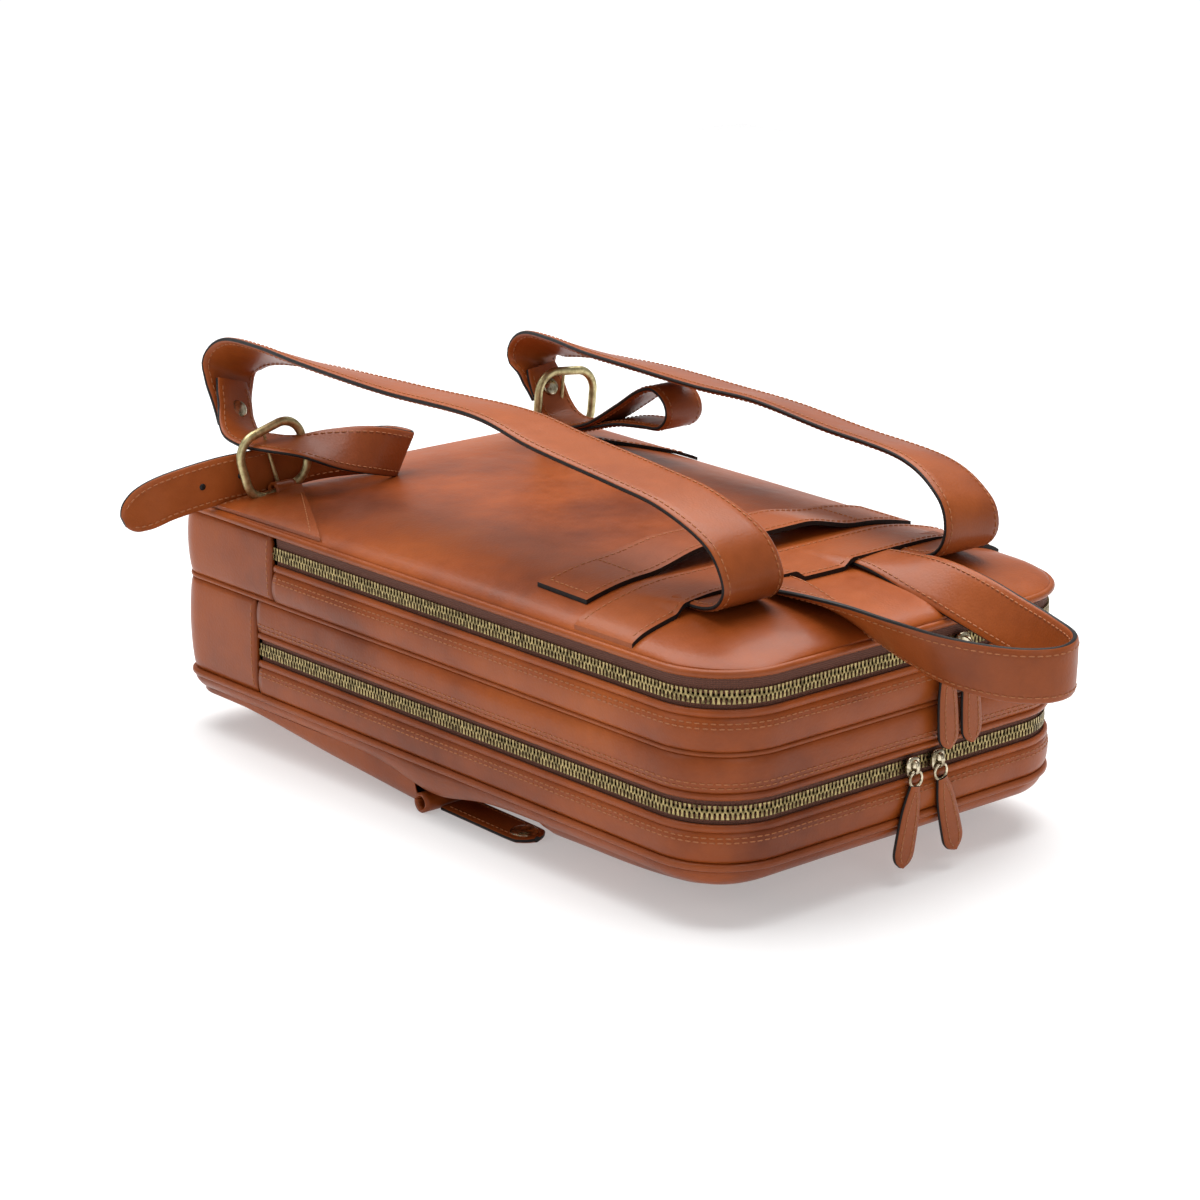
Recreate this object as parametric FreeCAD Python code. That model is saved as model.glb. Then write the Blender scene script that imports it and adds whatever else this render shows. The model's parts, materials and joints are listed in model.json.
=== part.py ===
"""Leather convertible briefcase with shoulder straps, lying on its front face, in millimetres.

+Z is up, the handle end points to -Y, the bag's bottom end to +Y, and X runs across the width.
The origin is in the middle of the face that the bag rests on.
"""
import FreeCAD
import Part
import math
import os

V = FreeCAD.Vector

# Overall size of the case and its plan outline
LENGTH = 400.0
WIDTH_HANDLE_END = 230.0
WIDTH_BASE_END = 256.0
CORNER_HANDLE_END = 38.0
CORNER_BASE_END = 16.0

# Heights of the layers, counted up from the face that rests
POCKET_DEPTH = 28.0
FRONT_BOX = 53.0
REAR_BOX = 36.0
ZIP_FROM_FRONT_SEAM = 27.0
ZIP_FROM_BACK_SEAM = 9.0

# Leather, lining and piping
LEATHER = 2.2
LINING = 0.8
SEAM_GAP = 0.3
PIPING = 3.2
PIPING_PROUD = 1.4
TAPE_THICK = 1.0
TAPE_WIDTH = 5.0
CHAIN_WIDTH = 3.4
CHAIN_THICK = 3.0
CHAIN_GAP = 0.3
CHAIN_INSET = 0.6

# Where the zips begin, counted from the base end
REAR_ZIP_START = 82.0
FRONT_ZIP_START = 68.0

# Padded panels
BACK_CROWN = 17.0
CROWN_PEAK_Y = -60.0
CROWN_RADIUS = 2900.0
FRONT_CROWN = 10.0
CROWN_ROUNDING = 9.0
BELLY_TOP_INSET = 34.0
BELLY_FLAT_INSET = 66.0
BELLY_TO_POCKET = 18.0
PADDING_INSET = 12.0
DIVIDER_BOARD = 1.5
SLEEVE_LENGTH = 270.0
SLEEVE_WIDTH = 190.0
SLEEVE_DEPTH = 14.0
SLEEVE_WALL = 2.5
SLEEVE_END_GAP = 2.0

# Front pocket
POCKET_LENGTH = 184.0
POCKET_FLAT = 70.0
POCKET_SIDE_INSET = 6.0
WELT_RADIUS = 5.0
WELT_HOLE = 3.4
TAB_FROM_SIDE = 24.0
TAB_WIDTH = 20.0
TAB_REACH = 62.0
TAB_ROOT = 24.0
TAB_THICK = 2.4
SNAP_RADIUS = 7.0
SNAP_HEIGHT = 2.0

# Bands on the back panel
BAND_THICK = 2.0
YOKE_FROM_END = 74.0
YOKE_WIDTH = 38.0
TROLLEY_FROM_YOKE = 45.0
TROLLEY_WIDTH = 35.0
TROLLEY_INSET = 16.0
TROLLEY_BOX = 34.0
TROLLEY_LIFT = 7.0

# Shoulder straps
STRAP_WIDTH = 36.0
STRAP_THICK = 3.4
STRAP_ROOT_FROM_SIDE = 51.5
STRAP_BASE_INSET = 44.0
STRAP_RISE = 9.5
ANCHOR_LENGTH = 10.0
STRAP_TOPS = {"left": 79.0, "right": 63.0}
STRAP_PAST_BASE = {"left": 22.0, "right": -20.0}
NARROW_WIDTH = 25.0
NARROW_THICK = 2.6
LINK_WIDTH = 11.0
LINK_OFFSET = 8.5
OVERLAP_STEP = 5.0
LINK_DROP = 11.0
TONGUE_REACH = {"left": 88.0, "right": 46.0}
TONGUE_DROP = 14.0
FOLD_REACH = 54.0
FOLD_CLEARANCE = 3.8
HOLE_RADIUS = 1.8
HOLE_SPACING = 26.0
RIVET_RADIUS = 4.5
RIVET_HEAD = 1.6

# Buckles
BUCKLE_FROM_SIDE = 34.5
BUCKLE_FROM_BASE = 44.0
BUCKLE_WIDTH = 42.0
BUCKLE_HEIGHT = 38.0
BUCKLE_BAR = 4.0
BUCKLE_CORNER = 11.0
BUCKLE_CLEARANCE = 0.3
BUCKLE_LOOSE = 1.8
PRONG_RADIUS = 1.2
PRONG_CLEARANCE = 0.05
TAB_BASE_LENGTH = 76.0
TAB_TONGUE = 12.0

# Handle
HANDLE_REACH = 156.0
HANDLE_SPREAD = 62.0
HANDLE_WIDTH = 24.0
HANDLE_THICK = 4.0
HANDLE_CORE = 1.2
HANDLE_ROOT_GAP = 2.6
HANDLE_EDGE_GAP = 5.0

# Zip sliders and their pulls
SLIDER_WIDTH = 8.0
SLIDER_HEIGHT = 9.0
SLIDER_DEPTH = 2.0
SLIDER_GAP = 0.5
BAIL_HEIGHT = 7.0
BAIL_DEPTH = {"rear": 5.6, "front": 3.0}
BAIL_WIRE = 0.8
BAIL_WIDTH = 2.0
RING_RADIUS = 3.8
RING_WIRE = 0.8
PULL_LENGTH = 40.0
PULL_WIDTH = 13.0
PULL_THICK = 2.6
PULL_CLEARANCE = 0.3
PULL_NECK = 2.2
SLIDER_X = {"rear_left": 18.0, "rear_right": 33.0, "front_left": 3.0, "front_right": 19.0}
PULL_LEAN = {"rear_left": -4.0, "rear_right": -4.0, "front_left": 11.0, "front_right": -11.0}

FRONT_SEAM = POCKET_DEPTH
MIDDLE_SEAM = FRONT_SEAM + FRONT_BOX
BACK_SEAM = MIDDLE_SEAM + REAR_BOX
FRONT_ZIP = FRONT_SEAM + ZIP_FROM_FRONT_SEAM
REAR_ZIP = BACK_SEAM - ZIP_FROM_BACK_SEAM
BASE_Y = LENGTH / 2.0
HANDLE_Y = -LENGTH / 2.0
PANEL_TOP = BACK_SEAM + BACK_CROWN
BIG = 2.0 * LENGTH

# Places along the length and across it that follow from the sizes above
YOKE_Y = HANDLE_Y + YOKE_FROM_END
TROLLEY_Y = YOKE_Y + TROLLEY_FROM_YOKE
BUCKLE_Y = BASE_Y - BUCKLE_FROM_BASE
POCKET_MOUTH_Y = BASE_Y - POCKET_LENGTH
REST_CENTRE = POCKET_MOUTH_Y + POCKET_FLAT / 2.0
TAPER = (WIDTH_BASE_END - WIDTH_HANDLE_END) / 2.0 / LENGTH
MIDDLE_HALF_WIDTH = (WIDTH_BASE_END + WIDTH_HANDLE_END) / 4.0
TAB_X = MIDDLE_HALF_WIDTH + TAPER * POCKET_MOUTH_Y - TAB_FROM_SIDE
BUCKLE_X = MIDDLE_HALF_WIDTH + TAPER * BUCKLE_Y - BUCKLE_FROM_SIDE
STRAP_ROOT_X = MIDDLE_HALF_WIDTH + TAPER * YOKE_Y - STRAP_ROOT_FROM_SIDE
STRAP_BASE_X = WIDTH_BASE_END / 2.0 - STRAP_BASE_INSET


def save(name, shape):
    """Write one sub-part as a STEP file named after its node, with the middle of the rest face at 0."""
    if not shape.isValid():
        raise RuntimeError("bad shape: " + name)
    placed = shape.copy()
    placed.translate(V(0, -REST_CENTRE, 0))
    placed.exportStep("parts/" + name + ".step")


def box(low, high):
    """Box between two corners."""
    size = [b - a for a, b in zip(low, high)]
    return Part.makeBox(size[0], size[1], size[2], V(*low))


def cylinder(radius, start, end):
    """Round bar from one point to another."""
    axis = V(*end) - V(*start)
    return Part.makeCylinder(radius, axis.Length, V(*start), axis)


def half_width(y):
    """Half the width of the case at a place along its length."""
    return MIDDLE_HALF_WIDTH + TAPER * y


def case_block(inset, low, high):
    """The plan outline, drawn in by an inset, as a block between two heights."""
    y0 = HANDLE_Y + inset
    y1 = BASE_Y - inset
    near = WIDTH_HANDLE_END / 2.0 - inset
    far = WIDTH_BASE_END / 2.0 - inset
    corners = [V(-near, y0, low), V(near, y0, low), V(far, y1, low), V(-far, y1, low)]
    block = Part.Face(Part.makePolygon(corners + corners[:1])).extrude(V(0, 0, high - low))
    for y_end, radius in ((y0, CORNER_HANDLE_END), (y1, CORNER_BASE_END)):
        upright = [e for e in block.Edges if abs(e.BoundBox.YMin - y_end) < 0.01
                   and e.BoundBox.YLength < 0.01 and e.BoundBox.ZLength > 0.5 * (high - low)]
        block = block.makeFillet(max(radius - inset, 1.0), upright)
    return block


def ring(outer, inner, low, high):
    """A strip that follows the outline between two insets."""
    return case_block(outer, low, high).cut(case_block(inner, low - 1.0, high + 1.0))


def handle_part(shape, start):
    """The stretch of a strip on the handle's side of where a zip starts."""
    return shape.common(box((-BIG, -BIG, -BIG), (BIG, BASE_Y - start, BIG)))


def base_part(shape, start):
    """The stretch of a strip round the base end, up to where a zip starts."""
    return shape.common(box((-BIG, BASE_Y - start, -BIG), (BIG, BIG, BIG)))


def cushion(inset, seam, rise, rounding):
    """A flat pad on the outline with rounded shoulders; a negative rise hangs below its seam."""
    low, high = min(seam, seam + rise), max(seam, seam + rise)
    block = case_block(inset, low, high)
    rim = [e for e in block.Edges if abs(e.BoundBox.ZMin - (seam + rise)) < 0.01
           and e.BoundBox.ZLength < 0.01]
    return block.makeFillet(rounding, rim)


def band(points, thickness, width, across):
    """A strap of even thickness along points in a plane, with its width across that plane.

    across is 0, 1 or 2: the axis that the width runs along. The points are pairs on the other two."""
    sides = ([], [])
    for i, point in enumerate(points):
        before = points[max(i - 1, 0)]
        after = points[min(i + 1, len(points) - 1)]
        pairs = [(p, q) for p, q in ((before, point), (point, after)) if p != q]
        angles = [math.atan2(q[1] - p[1], q[0] - p[0]) for p, q in pairs]
        spread = (angles[-1] - angles[0] + math.pi) % (2 * math.pi) - math.pi
        middle = angles[0] + spread / 2.0
        reach = thickness / 2.0 / math.cos(spread / 2.0)
        for side, sign in zip(sides, (1.0, -1.0)):
            spot = [point[0] - sign * math.sin(middle) * reach, point[1] + sign * math.cos(middle) * reach]
            spot.insert(across, -width / 2.0)
            side.append(V(*spot))
    outline = sides[0] + sides[1][::-1]
    direction = [0.0, 0.0, 0.0]
    direction[across] = width
    return Part.Face(Part.makePolygon(outline + outline[:1])).extrude(V(*direction))


def arc(centre, radius, start, end, steps):
    """Points along an arc, in degrees, as (along, up) pairs."""
    turns = [math.radians(start + (end - start) * i / steps) for i in range(steps + 1)]
    return [(centre[0] + radius * math.cos(t), centre[1] + radius * math.sin(t)) for t in turns]


def panel_z(y):
    """Height of the padded back panel's top, which falls away from its highest place."""
    return PANEL_TOP - (y - CROWN_PEAK_Y) ** 2 / (2.0 * CROWN_RADIUS)


def under_crown(raised):
    """Everything under the back panel's long curve, when that is raised by a little."""
    centre = V(-BIG, CROWN_PEAK_Y, PANEL_TOP - CROWN_RADIUS)
    return Part.makeCylinder(CROWN_RADIUS + raised, 2 * BIG, centre, V(1, 0, 0))


def laid_on_panel(outline):
    """A thin leather piece of a plan outline that lies on the curve of the back panel."""
    points = [V(x, y, BACK_SEAM) for x, y in outline]
    prism = Part.Face(Part.makePolygon(points + points[:1])).extrude(V(0, 0, 3 * BACK_CROWN))
    return prism.common(under_crown(BAND_THICK)).cut(under_crown(0.0))


def mirrored(shape):
    """The same piece on the other side of the case."""
    return shape.mirror(V(0, 0, 0), V(1, 0, 0))


def belly(inset):
    """The stuffed middle of the front panel, a low frustum whose flat face the case rests on."""
    rims = []
    steps = ((BELLY_TOP_INSET, FRONT_SEAM - FRONT_CROWN + inset), (BELLY_FLAT_INSET, inset))
    for edge, z in steps:
        x = WIDTH_HANDLE_END / 2 - edge - inset
        y0 = HANDLE_Y + edge + inset
        y1 = POCKET_MOUTH_Y - BELLY_TO_POCKET - (edge - BELLY_TOP_INSET) - inset
        corners = [V(-x, y0, z), V(x, y0, z), V(x, y1, z), V(-x, y1, z)]
        rims.append(Part.makePolygon(corners + corners[:1]))
    return Part.makeLoft(rims, True, True)


def front_shell():
    """Front panel, its padding and lining, the lower half of the front zip, and the base wall."""
    low_edge = FRONT_ZIP - CHAIN_WIDTH - TAPE_WIDTH
    outer = cushion(0.0, FRONT_SEAM, -FRONT_CROWN, CROWN_ROUNDING)
    padding = case_block(PADDING_INSET, FRONT_SEAM - FRONT_CROWN + LEATHER, FRONT_SEAM - LINING)
    filling = belly(LEATHER)
    save("front_padding", padding.fuse(filling).removeSplitter())
    save("front_panel", outer.fuse(belly(0.0)).removeSplitter().cut(padding).cut(filling))
    save("front_piping", ring(-PIPING_PROUD, LEATHER, FRONT_SEAM, FRONT_SEAM + PIPING))
    wall = ring(0.0, LEATHER, FRONT_SEAM + PIPING, low_edge)
    save("front_gusset_lower", handle_part(wall, FRONT_ZIP_START))
    high_wall = ring(0.0, LEATHER, FRONT_SEAM + PIPING, MIDDLE_SEAM - SEAM_GAP)
    save("front_base_gusset", base_part(high_wall, FRONT_ZIP_START))
    tape = ring(LEATHER / 2, LEATHER / 2 + TAPE_THICK, low_edge, FRONT_ZIP - CHAIN_WIDTH)
    save("front_zip_tape_lower", handle_part(tape, FRONT_ZIP_START))
    chain = ring(CHAIN_INSET, CHAIN_INSET + CHAIN_THICK, FRONT_ZIP - CHAIN_WIDTH, FRONT_ZIP - CHAIN_GAP / 2)
    save("front_zip_teeth_lower", handle_part(chain, FRONT_ZIP_START))
    tray = case_block(LEATHER, FRONT_SEAM, low_edge)
    hollow = case_block(LEATHER + LINING, FRONT_SEAM + LINING, low_edge + 1.0)
    save("front_lining", tray.cut(hollow).cut(ring(-PIPING, LEATHER, FRONT_SEAM - 1, low_edge)))


def pocket():
    """The open patch pocket on the front, its rolled mouth, and its two closing tabs."""
    flat_end = POCKET_MOUTH_Y + POCKET_FLAT
    base = BASE_Y - POCKET_SIDE_INSET
    body_top = FRONT_SEAM - FRONT_CROWN
    side = [V(-BIG, POCKET_MOUTH_Y, 0), V(-BIG, flat_end, 0), V(-BIG, base, body_top - LEATHER),
            V(-BIG, base, body_top), V(-BIG, POCKET_MOUTH_Y, body_top)]
    wedge = Part.Face(Part.makePolygon(side + side[:1])).extrude(V(2 * BIG, 0, 0))
    body = wedge.common(case_block(POCKET_SIDE_INSET, -1.0, body_top))
    inside = case_block(POCKET_SIDE_INSET + LEATHER, LEATHER, body_top)
    inner = wedge.copy()
    inner.translate(V(0, -LEATHER, LEATHER))
    save("pocket_pouch", body.cut(inside.common(inner)))
    x_end = half_width(POCKET_MOUTH_Y) - POCKET_SIDE_INSET
    y = POCKET_MOUTH_Y - WELT_RADIUS
    welt = cylinder(WELT_RADIUS, (-x_end, y, WELT_RADIUS), (x_end, y, WELT_RADIUS))
    bore = cylinder(WELT_HOLE, (-x_end - 1, y, WELT_RADIUS), (x_end + 1, y, WELT_RADIUS))
    save("pocket_welt", welt.cut(bore))


def closing_tabs():
    """Tongues sewn to the pocket's outer face, with a snap cap that meets a stud on the panel."""
    root = POCKET_MOUTH_Y - 2 * WELT_RADIUS - SEAM_GAP
    tip = root - TAB_REACH
    radius = TAB_WIDTH / 2.0
    body = box((TAB_X - radius, tip + radius, 0), (TAB_X + radius, root, TAB_THICK))
    body = body.fuse(cylinder(radius, (TAB_X, tip + radius, 0), (TAB_X, tip + radius, TAB_THICK)))
    body = body.removeSplitter()
    y_cap = tip + radius
    cap = cylinder(SNAP_RADIUS, (TAB_X, y_cap, TAB_THICK), (TAB_X, y_cap, TAB_THICK + SNAP_HEIGHT))
    top = FRONT_SEAM - FRONT_CROWN
    stud = cylinder(SNAP_RADIUS, (TAB_X, y_cap, top - SNAP_HEIGHT), (TAB_X, y_cap, top))
    for side, turn in (("right", lambda s: s), ("left", mirrored)):
        save("pocket_tab_" + side, turn(body))
        save("snap_cap_" + side, turn(cap))
    save("snap_studs", Part.makeCompound([stud, mirrored(stud)]))


def middle_shell():
    """Everything between the two zips: upper front gusset, divider, rear gusset and sleeve."""
    high_edge = FRONT_ZIP + CHAIN_WIDTH + TAPE_WIDTH
    low_edge = REAR_ZIP - CHAIN_WIDTH - TAPE_WIDTH
    chain = ring(CHAIN_INSET, CHAIN_INSET + CHAIN_THICK, FRONT_ZIP + CHAIN_GAP / 2, FRONT_ZIP + CHAIN_WIDTH)
    save("front_zip_teeth_upper", handle_part(chain, FRONT_ZIP_START + SEAM_GAP))
    tape = ring(LEATHER / 2, LEATHER / 2 + TAPE_THICK, FRONT_ZIP + CHAIN_WIDTH, high_edge)
    save("front_zip_tape_upper", handle_part(tape, FRONT_ZIP_START + SEAM_GAP))
    wall = ring(0.0, LEATHER, high_edge, MIDDLE_SEAM)
    save("front_gusset_upper", handle_part(wall, FRONT_ZIP_START + SEAM_GAP))
    save("middle_piping", ring(-PIPING_PROUD / 2, LEATHER, MIDDLE_SEAM, MIDDLE_SEAM + PIPING / 2))
    board_low = MIDDLE_SEAM + LINING
    board = case_block(LEATHER + 2 * LINING, board_low, board_low + DIVIDER_BOARD)
    save("divider_board", board)
    skin = case_block(LEATHER, MIDDLE_SEAM, board_low + DIVIDER_BOARD + LINING)
    save("divider_lining", skin.cut(board))
    wall = ring(0.0, LEATHER, MIDDLE_SEAM + PIPING / 2, low_edge)
    save("rear_gusset", handle_part(wall, REAR_ZIP_START))
    wall = ring(0.0, LEATHER, MIDDLE_SEAM + PIPING / 2, BACK_SEAM - SEAM_GAP)
    save("rear_base_gusset", base_part(wall, REAR_ZIP_START))
    tape = ring(LEATHER / 2, LEATHER / 2 + TAPE_THICK, low_edge, REAR_ZIP - CHAIN_WIDTH)
    save("rear_zip_tape_lower", handle_part(tape, REAR_ZIP_START))
    chain = ring(CHAIN_INSET, CHAIN_INSET + CHAIN_THICK, REAR_ZIP - CHAIN_WIDTH, REAR_ZIP - CHAIN_GAP / 2)
    save("rear_zip_teeth_lower", handle_part(chain, REAR_ZIP_START))
    floor = board_low + DIVIDER_BOARD + LINING
    y1 = BASE_Y - LEATHER - 2 * LINING - SLEEVE_END_GAP
    half = SLEEVE_WIDTH / 2.0
    sleeve = box((-half, y1 - SLEEVE_LENGTH, floor), (half, y1, floor + SLEEVE_DEPTH))
    room = box((-half + SLEEVE_WALL, y1 - SLEEVE_LENGTH - 1, floor + SLEEVE_WALL),
               (half - SLEEVE_WALL, y1 - SLEEVE_WALL, floor + SLEEVE_DEPTH - SLEEVE_WALL))
    save("laptop_sleeve", sleeve.cut(room))


def back_flap():
    """The padded back panel with its piping, lining, bands and the upper half of the rear zip."""
    chain = ring(CHAIN_INSET, CHAIN_INSET + CHAIN_THICK, REAR_ZIP + CHAIN_GAP / 2, REAR_ZIP + CHAIN_WIDTH)
    save("rear_zip_teeth_upper", handle_part(chain, REAR_ZIP_START + SEAM_GAP))
    tape = ring(LEATHER / 2, LEATHER / 2 + TAPE_THICK, REAR_ZIP + CHAIN_WIDTH, BACK_SEAM)
    save("rear_zip_tape_upper", handle_part(tape, REAR_ZIP_START + SEAM_GAP))
    save("back_piping", ring(-PIPING_PROUD, LEATHER, BACK_SEAM, BACK_SEAM + PIPING))
    lining = case_block(LEATHER, BACK_SEAM, BACK_SEAM + LINING)
    save("back_lining", lining)
    floor = BACK_SEAM + LINING
    padding = case_block(PADDING_INSET, floor, PANEL_TOP).common(under_crown(-LEATHER))
    save("back_padding", padding)
    outer = cushion(LEATHER, floor, BACK_CROWN - LINING, CROWN_ROUNDING).common(under_crown(0.0))
    save("back_panel", outer.cut(padding))


def bands():
    """The yoke band over the strap ends, and the band that slips over a trolley's handle."""
    half = half_width(YOKE_Y) - CROWN_ROUNDING - LEATHER
    low, high = YOKE_Y - YOKE_WIDTH / 2, YOKE_Y + YOKE_WIDTH / 2
    save("yoke_band", laid_on_panel([(-half, low), (half, low), (half, high), (-half, high)]))
    half = half_width(TROLLEY_Y) - TROLLEY_INSET
    end = half - TROLLEY_BOX
    rise = PANEL_TOP + BAND_THICK / 2
    path = [(-half, rise), (-end, rise), (-end + 2 * TROLLEY_LIFT, rise + TROLLEY_LIFT),
            (end - 2 * TROLLEY_LIFT, rise + TROLLEY_LIFT), (end, rise), (half, rise)]
    strip = band(path, BAND_THICK, TROLLEY_WIDTH, 1)
    strip.translate(V(0, TROLLEY_Y, 0))
    save("trolley_band", strip)


def bar_height():
    """Height of a buckle's lower bar, which its corner tab holds just above the panel."""
    return panel_z(BUCKLE_Y - TAB_TONGUE / 2) + BAND_THICK + BUCKLE_LOOSE + BUCKLE_BAR / 2


def corner_tabs():
    """Triangles sewn into the side seam near the base, rolled round the buckles' lower bars."""
    y0 = BUCKLE_Y - TAB_BASE_LENGTH + TAB_TONGUE
    y1 = BUCKLE_Y + TAB_TONGUE
    x_seam = half_width(BUCKLE_Y) - CROWN_ROUNDING - LEATHER
    half = TAB_TONGUE / 2
    flat = laid_on_panel([(x_seam, y0), (x_seam, y1), (BUCKLE_X + half, BUCKLE_Y),
                          (BUCKLE_X - half, BUCKLE_Y), (BUCKLE_X - half, BUCKLE_Y - half)])
    z = bar_height()
    bore = BUCKLE_BAR / 2 + BUCKLE_LOOSE
    start, end = (BUCKLE_X - half, BUCKLE_Y, z), (BUCKLE_X + half, BUCKLE_Y, z)
    roll = cylinder(bore + BAND_THICK, start, end)
    tab = flat.fuse(roll).cut(cylinder(bore, (-BIG, BUCKLE_Y, z), (BIG, BUCKLE_Y, z)))
    tab = tab.cut(under_crown(0.0))
    gap = PRONG_RADIUS + BUCKLE_LOOSE
    slot = box((BUCKLE_X - gap, BUCKLE_Y - BIG, z - BUCKLE_BAR / 2 - BUCKLE_LOOSE),
               (BUCKLE_X + gap, BUCKLE_Y + BIG, z + BUCKLE_HEIGHT))
    tab = tab.cut(slot)
    save("corner_tabs", Part.makeCompound([tab, mirrored(tab)]))


def rounded_frame():
    """The buckle's frame: a rounded ring standing across the length, on its lower bar."""
    low = bar_height()
    high = low + BUCKLE_HEIGHT - BUCKLE_BAR
    half = BUCKLE_WIDTH / 2 - BUCKLE_BAR / 2
    r = BUCKLE_CORNER
    left, right = BUCKLE_X - half, BUCKLE_X + half
    centres = ((right - r, low + r, -90), (right - r, high - r, 0),
               (left + r, high - r, 90), (left + r, low + r, 180))
    turns = [[V(p[0], BUCKLE_Y, p[1]) for p in arc((cx, cz), r, start, start + 90, 2)]
             for cx, cz, start in centres]
    edges = []
    for i, turn in enumerate(turns):
        edges.append(Part.Arc(*turn).toShape())
        edges.append(Part.LineSegment(turn[-1], turns[(i + 1) % 4][0]).toShape())
    circle = Part.Wire(Part.makeCircle(BUCKLE_BAR / 2, turns[0][0], V(1, 0, 0)))
    return Part.Wire(edges).makePipeShell([circle], True, True)


def buckles():
    """A ring on each corner tab, and the prong that turns on the ring's lower bar."""
    z = bar_height()
    frame = rounded_frame()
    bore = BUCKLE_BAR / 2 + PRONG_CLEARANCE
    eye = cylinder(bore + 1.0, (BUCKLE_X - PRONG_RADIUS, BUCKLE_Y, z),
                   (BUCKLE_X + PRONG_RADIUS, BUCKLE_Y, z))
    y = BUCKLE_Y + BUCKLE_BAR / 2 + PRONG_RADIUS + PRONG_CLEARANCE
    pin = cylinder(PRONG_RADIUS, (BUCKLE_X, y, z), (BUCKLE_X, y, z + BUCKLE_HEIGHT - BUCKLE_BAR))
    hole = cylinder(bore, (BUCKLE_X - BUCKLE_WIDTH, BUCKLE_Y, z), (BUCKLE_X + BUCKLE_WIDTH, BUCKLE_Y, z))
    prong = pin.fuse(eye).cut(hole).removeSplitter()
    for side, turn in (("right", lambda s: s), ("left", mirrored)):
        save("buckle_frame_" + side, turn(frame))
        save("buckle_prong_" + side, turn(prong))


def strap_path(top, end):
    """Centre line of a shoulder strap: curl at the handle end, long run, turn at the base end."""
    root = YOKE_Y - YOKE_WIDTH / 2 - ANCHOR_LENGTH
    low = panel_z(root) + STRAP_RISE
    peak = BACK_SEAM + top
    curl = [(root + 2.0, low), (root - 7.0, low), (root - 14.0, low + 4.0), (root - 16.0, low + 13.0),
            (root - 12.0, low + 22.0), (root - 2.0, low + 29.0)]
    start, stop = root + 25.0, end - 40.0
    span = stop - start
    run = [(start, peak - 19.0), (start + 0.25 * span, peak - 7.0), (start + 0.6 * span, peak - 5.0),
           (start + 0.85 * span, peak - 2.0)]
    turn = [(stop, peak), (end - 16.0, peak - 1.0), (end - 4.0, peak - 9.0), (end, peak - 18.0),
            (end - 1.0, peak - 32.0)]
    return curl + run + turn


def fold_lines():
    """Where the narrow strap runs, as Y values: in front of the ring, and back behind it."""
    front = BUCKLE_Y - BUCKLE_BAR / 2 - NARROW_THICK / 2 - FOLD_CLEARANCE
    back = BUCKLE_Y + BUCKLE_BAR / 2 + NARROW_THICK / 2 + 2 * PRONG_RADIUS + FOLD_CLEARANCE
    return front, back


def narrow_strap(middle, link, inward, reach):
    """The strap's narrow end, standing on edge: past the ring, folded, and back behind it.

    inward is 1 where the fold lies towards the middle of the case and -1 where it lies outside."""
    front, back = fold_lines()
    radius = (back - front) / 2
    path = [(LINK_OFFSET + LINK_WIDTH / 2, front)]
    path += arc((-FOLD_REACH, front + radius), radius, -90, -270, 6)
    path += [(BUCKLE_WIDTH / 2, back), (reach, back + TONGUE_DROP)]
    strip = band([(inward * x, y) for x, y in path], NARROW_THICK, NARROW_WIDTH, 2)
    for i in range(3):
        x = inward * i * HOLE_SPACING
        strip = strip.cut(cylinder(HOLE_RADIUS, (x, BUCKLE_Y, 0), (x, BUCKLE_Y + BIG, 0)))
    strip.translate(V(0, 0, middle))
    bridge = band(link, NARROW_THICK, LINK_WIDTH, 0)
    bridge.translate(V(inward * LINK_OFFSET, 0, 0))
    whole = strip.fuse(bridge).removeSplitter()
    whole.translate(V(BUCKLE_X, 0, 0))
    return whole


def straps():
    """The sewn roots, the wide straps, the narrow strap that each is riveted to, and the rivets."""
    skew = math.degrees(math.atan2(STRAP_BASE_X - STRAP_ROOT_X, BASE_Y - YOKE_Y))
    y1 = YOKE_Y - YOKE_WIDTH / 2 - SEAM_GAP
    half = STRAP_WIDTH / 2
    left, right = STRAP_ROOT_X - half, STRAP_ROOT_X + half
    anchor = laid_on_panel([(left, y1 - ANCHOR_LENGTH), (right, y1 - ANCHOR_LENGTH), (right, y1), (left, y1)])
    save("strap_anchors", Part.makeCompound([anchor, mirrored(anchor)]))
    middle = bar_height() + BUCKLE_BAR / 2 + NARROW_WIDTH / 2 + 2 * BUCKLE_CLEARANCE
    clear = middle + NARROW_WIDTH / 2 + FOLD_CLEARANCE
    for side, turn, inward in (("right", lambda s: s, -1), ("left", mirrored, 1)):
        end = BASE_Y + STRAP_PAST_BASE[side]
        peak = BACK_SEAM + STRAP_TOPS[side]
        wide = band(strap_path(STRAP_TOPS[side], end), STRAP_THICK, STRAP_WIDTH, 0)
        wide.translate(V(STRAP_ROOT_X, 0, 0))
        wide.rotate(V(STRAP_ROOT_X, YOKE_Y, 0), V(0, 0, 1), -skew)
        inner = end - OVERLAP_STEP
        link = [(inner, peak - LINK_DROP), (inner, clear + 2.0), (inner - 4.0, clear - 2.0),
                (fold_lines()[0], clear - 8.0)]
        face = inner - NARROW_THICK / 2
        spot = peak - LINK_DROP - RIVET_RADIUS - 1.0
        x = BUCKLE_X + inward * LINK_OFFSET
        rivet = cylinder(RIVET_RADIUS, (x, face - RIVET_HEAD, spot), (x, end - STRAP_THICK / 2, spot))
        rivet = rivet.cut(wide)
        tail = narrow_strap(middle, link, inward, TONGUE_REACH[side]).cut(rivet).cut(wide)
        save("shoulder_strap_" + side, turn(wide))
        save("strap_end_" + side, turn(tail))
        save("strap_rivet_" + side, turn(rivet))


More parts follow.
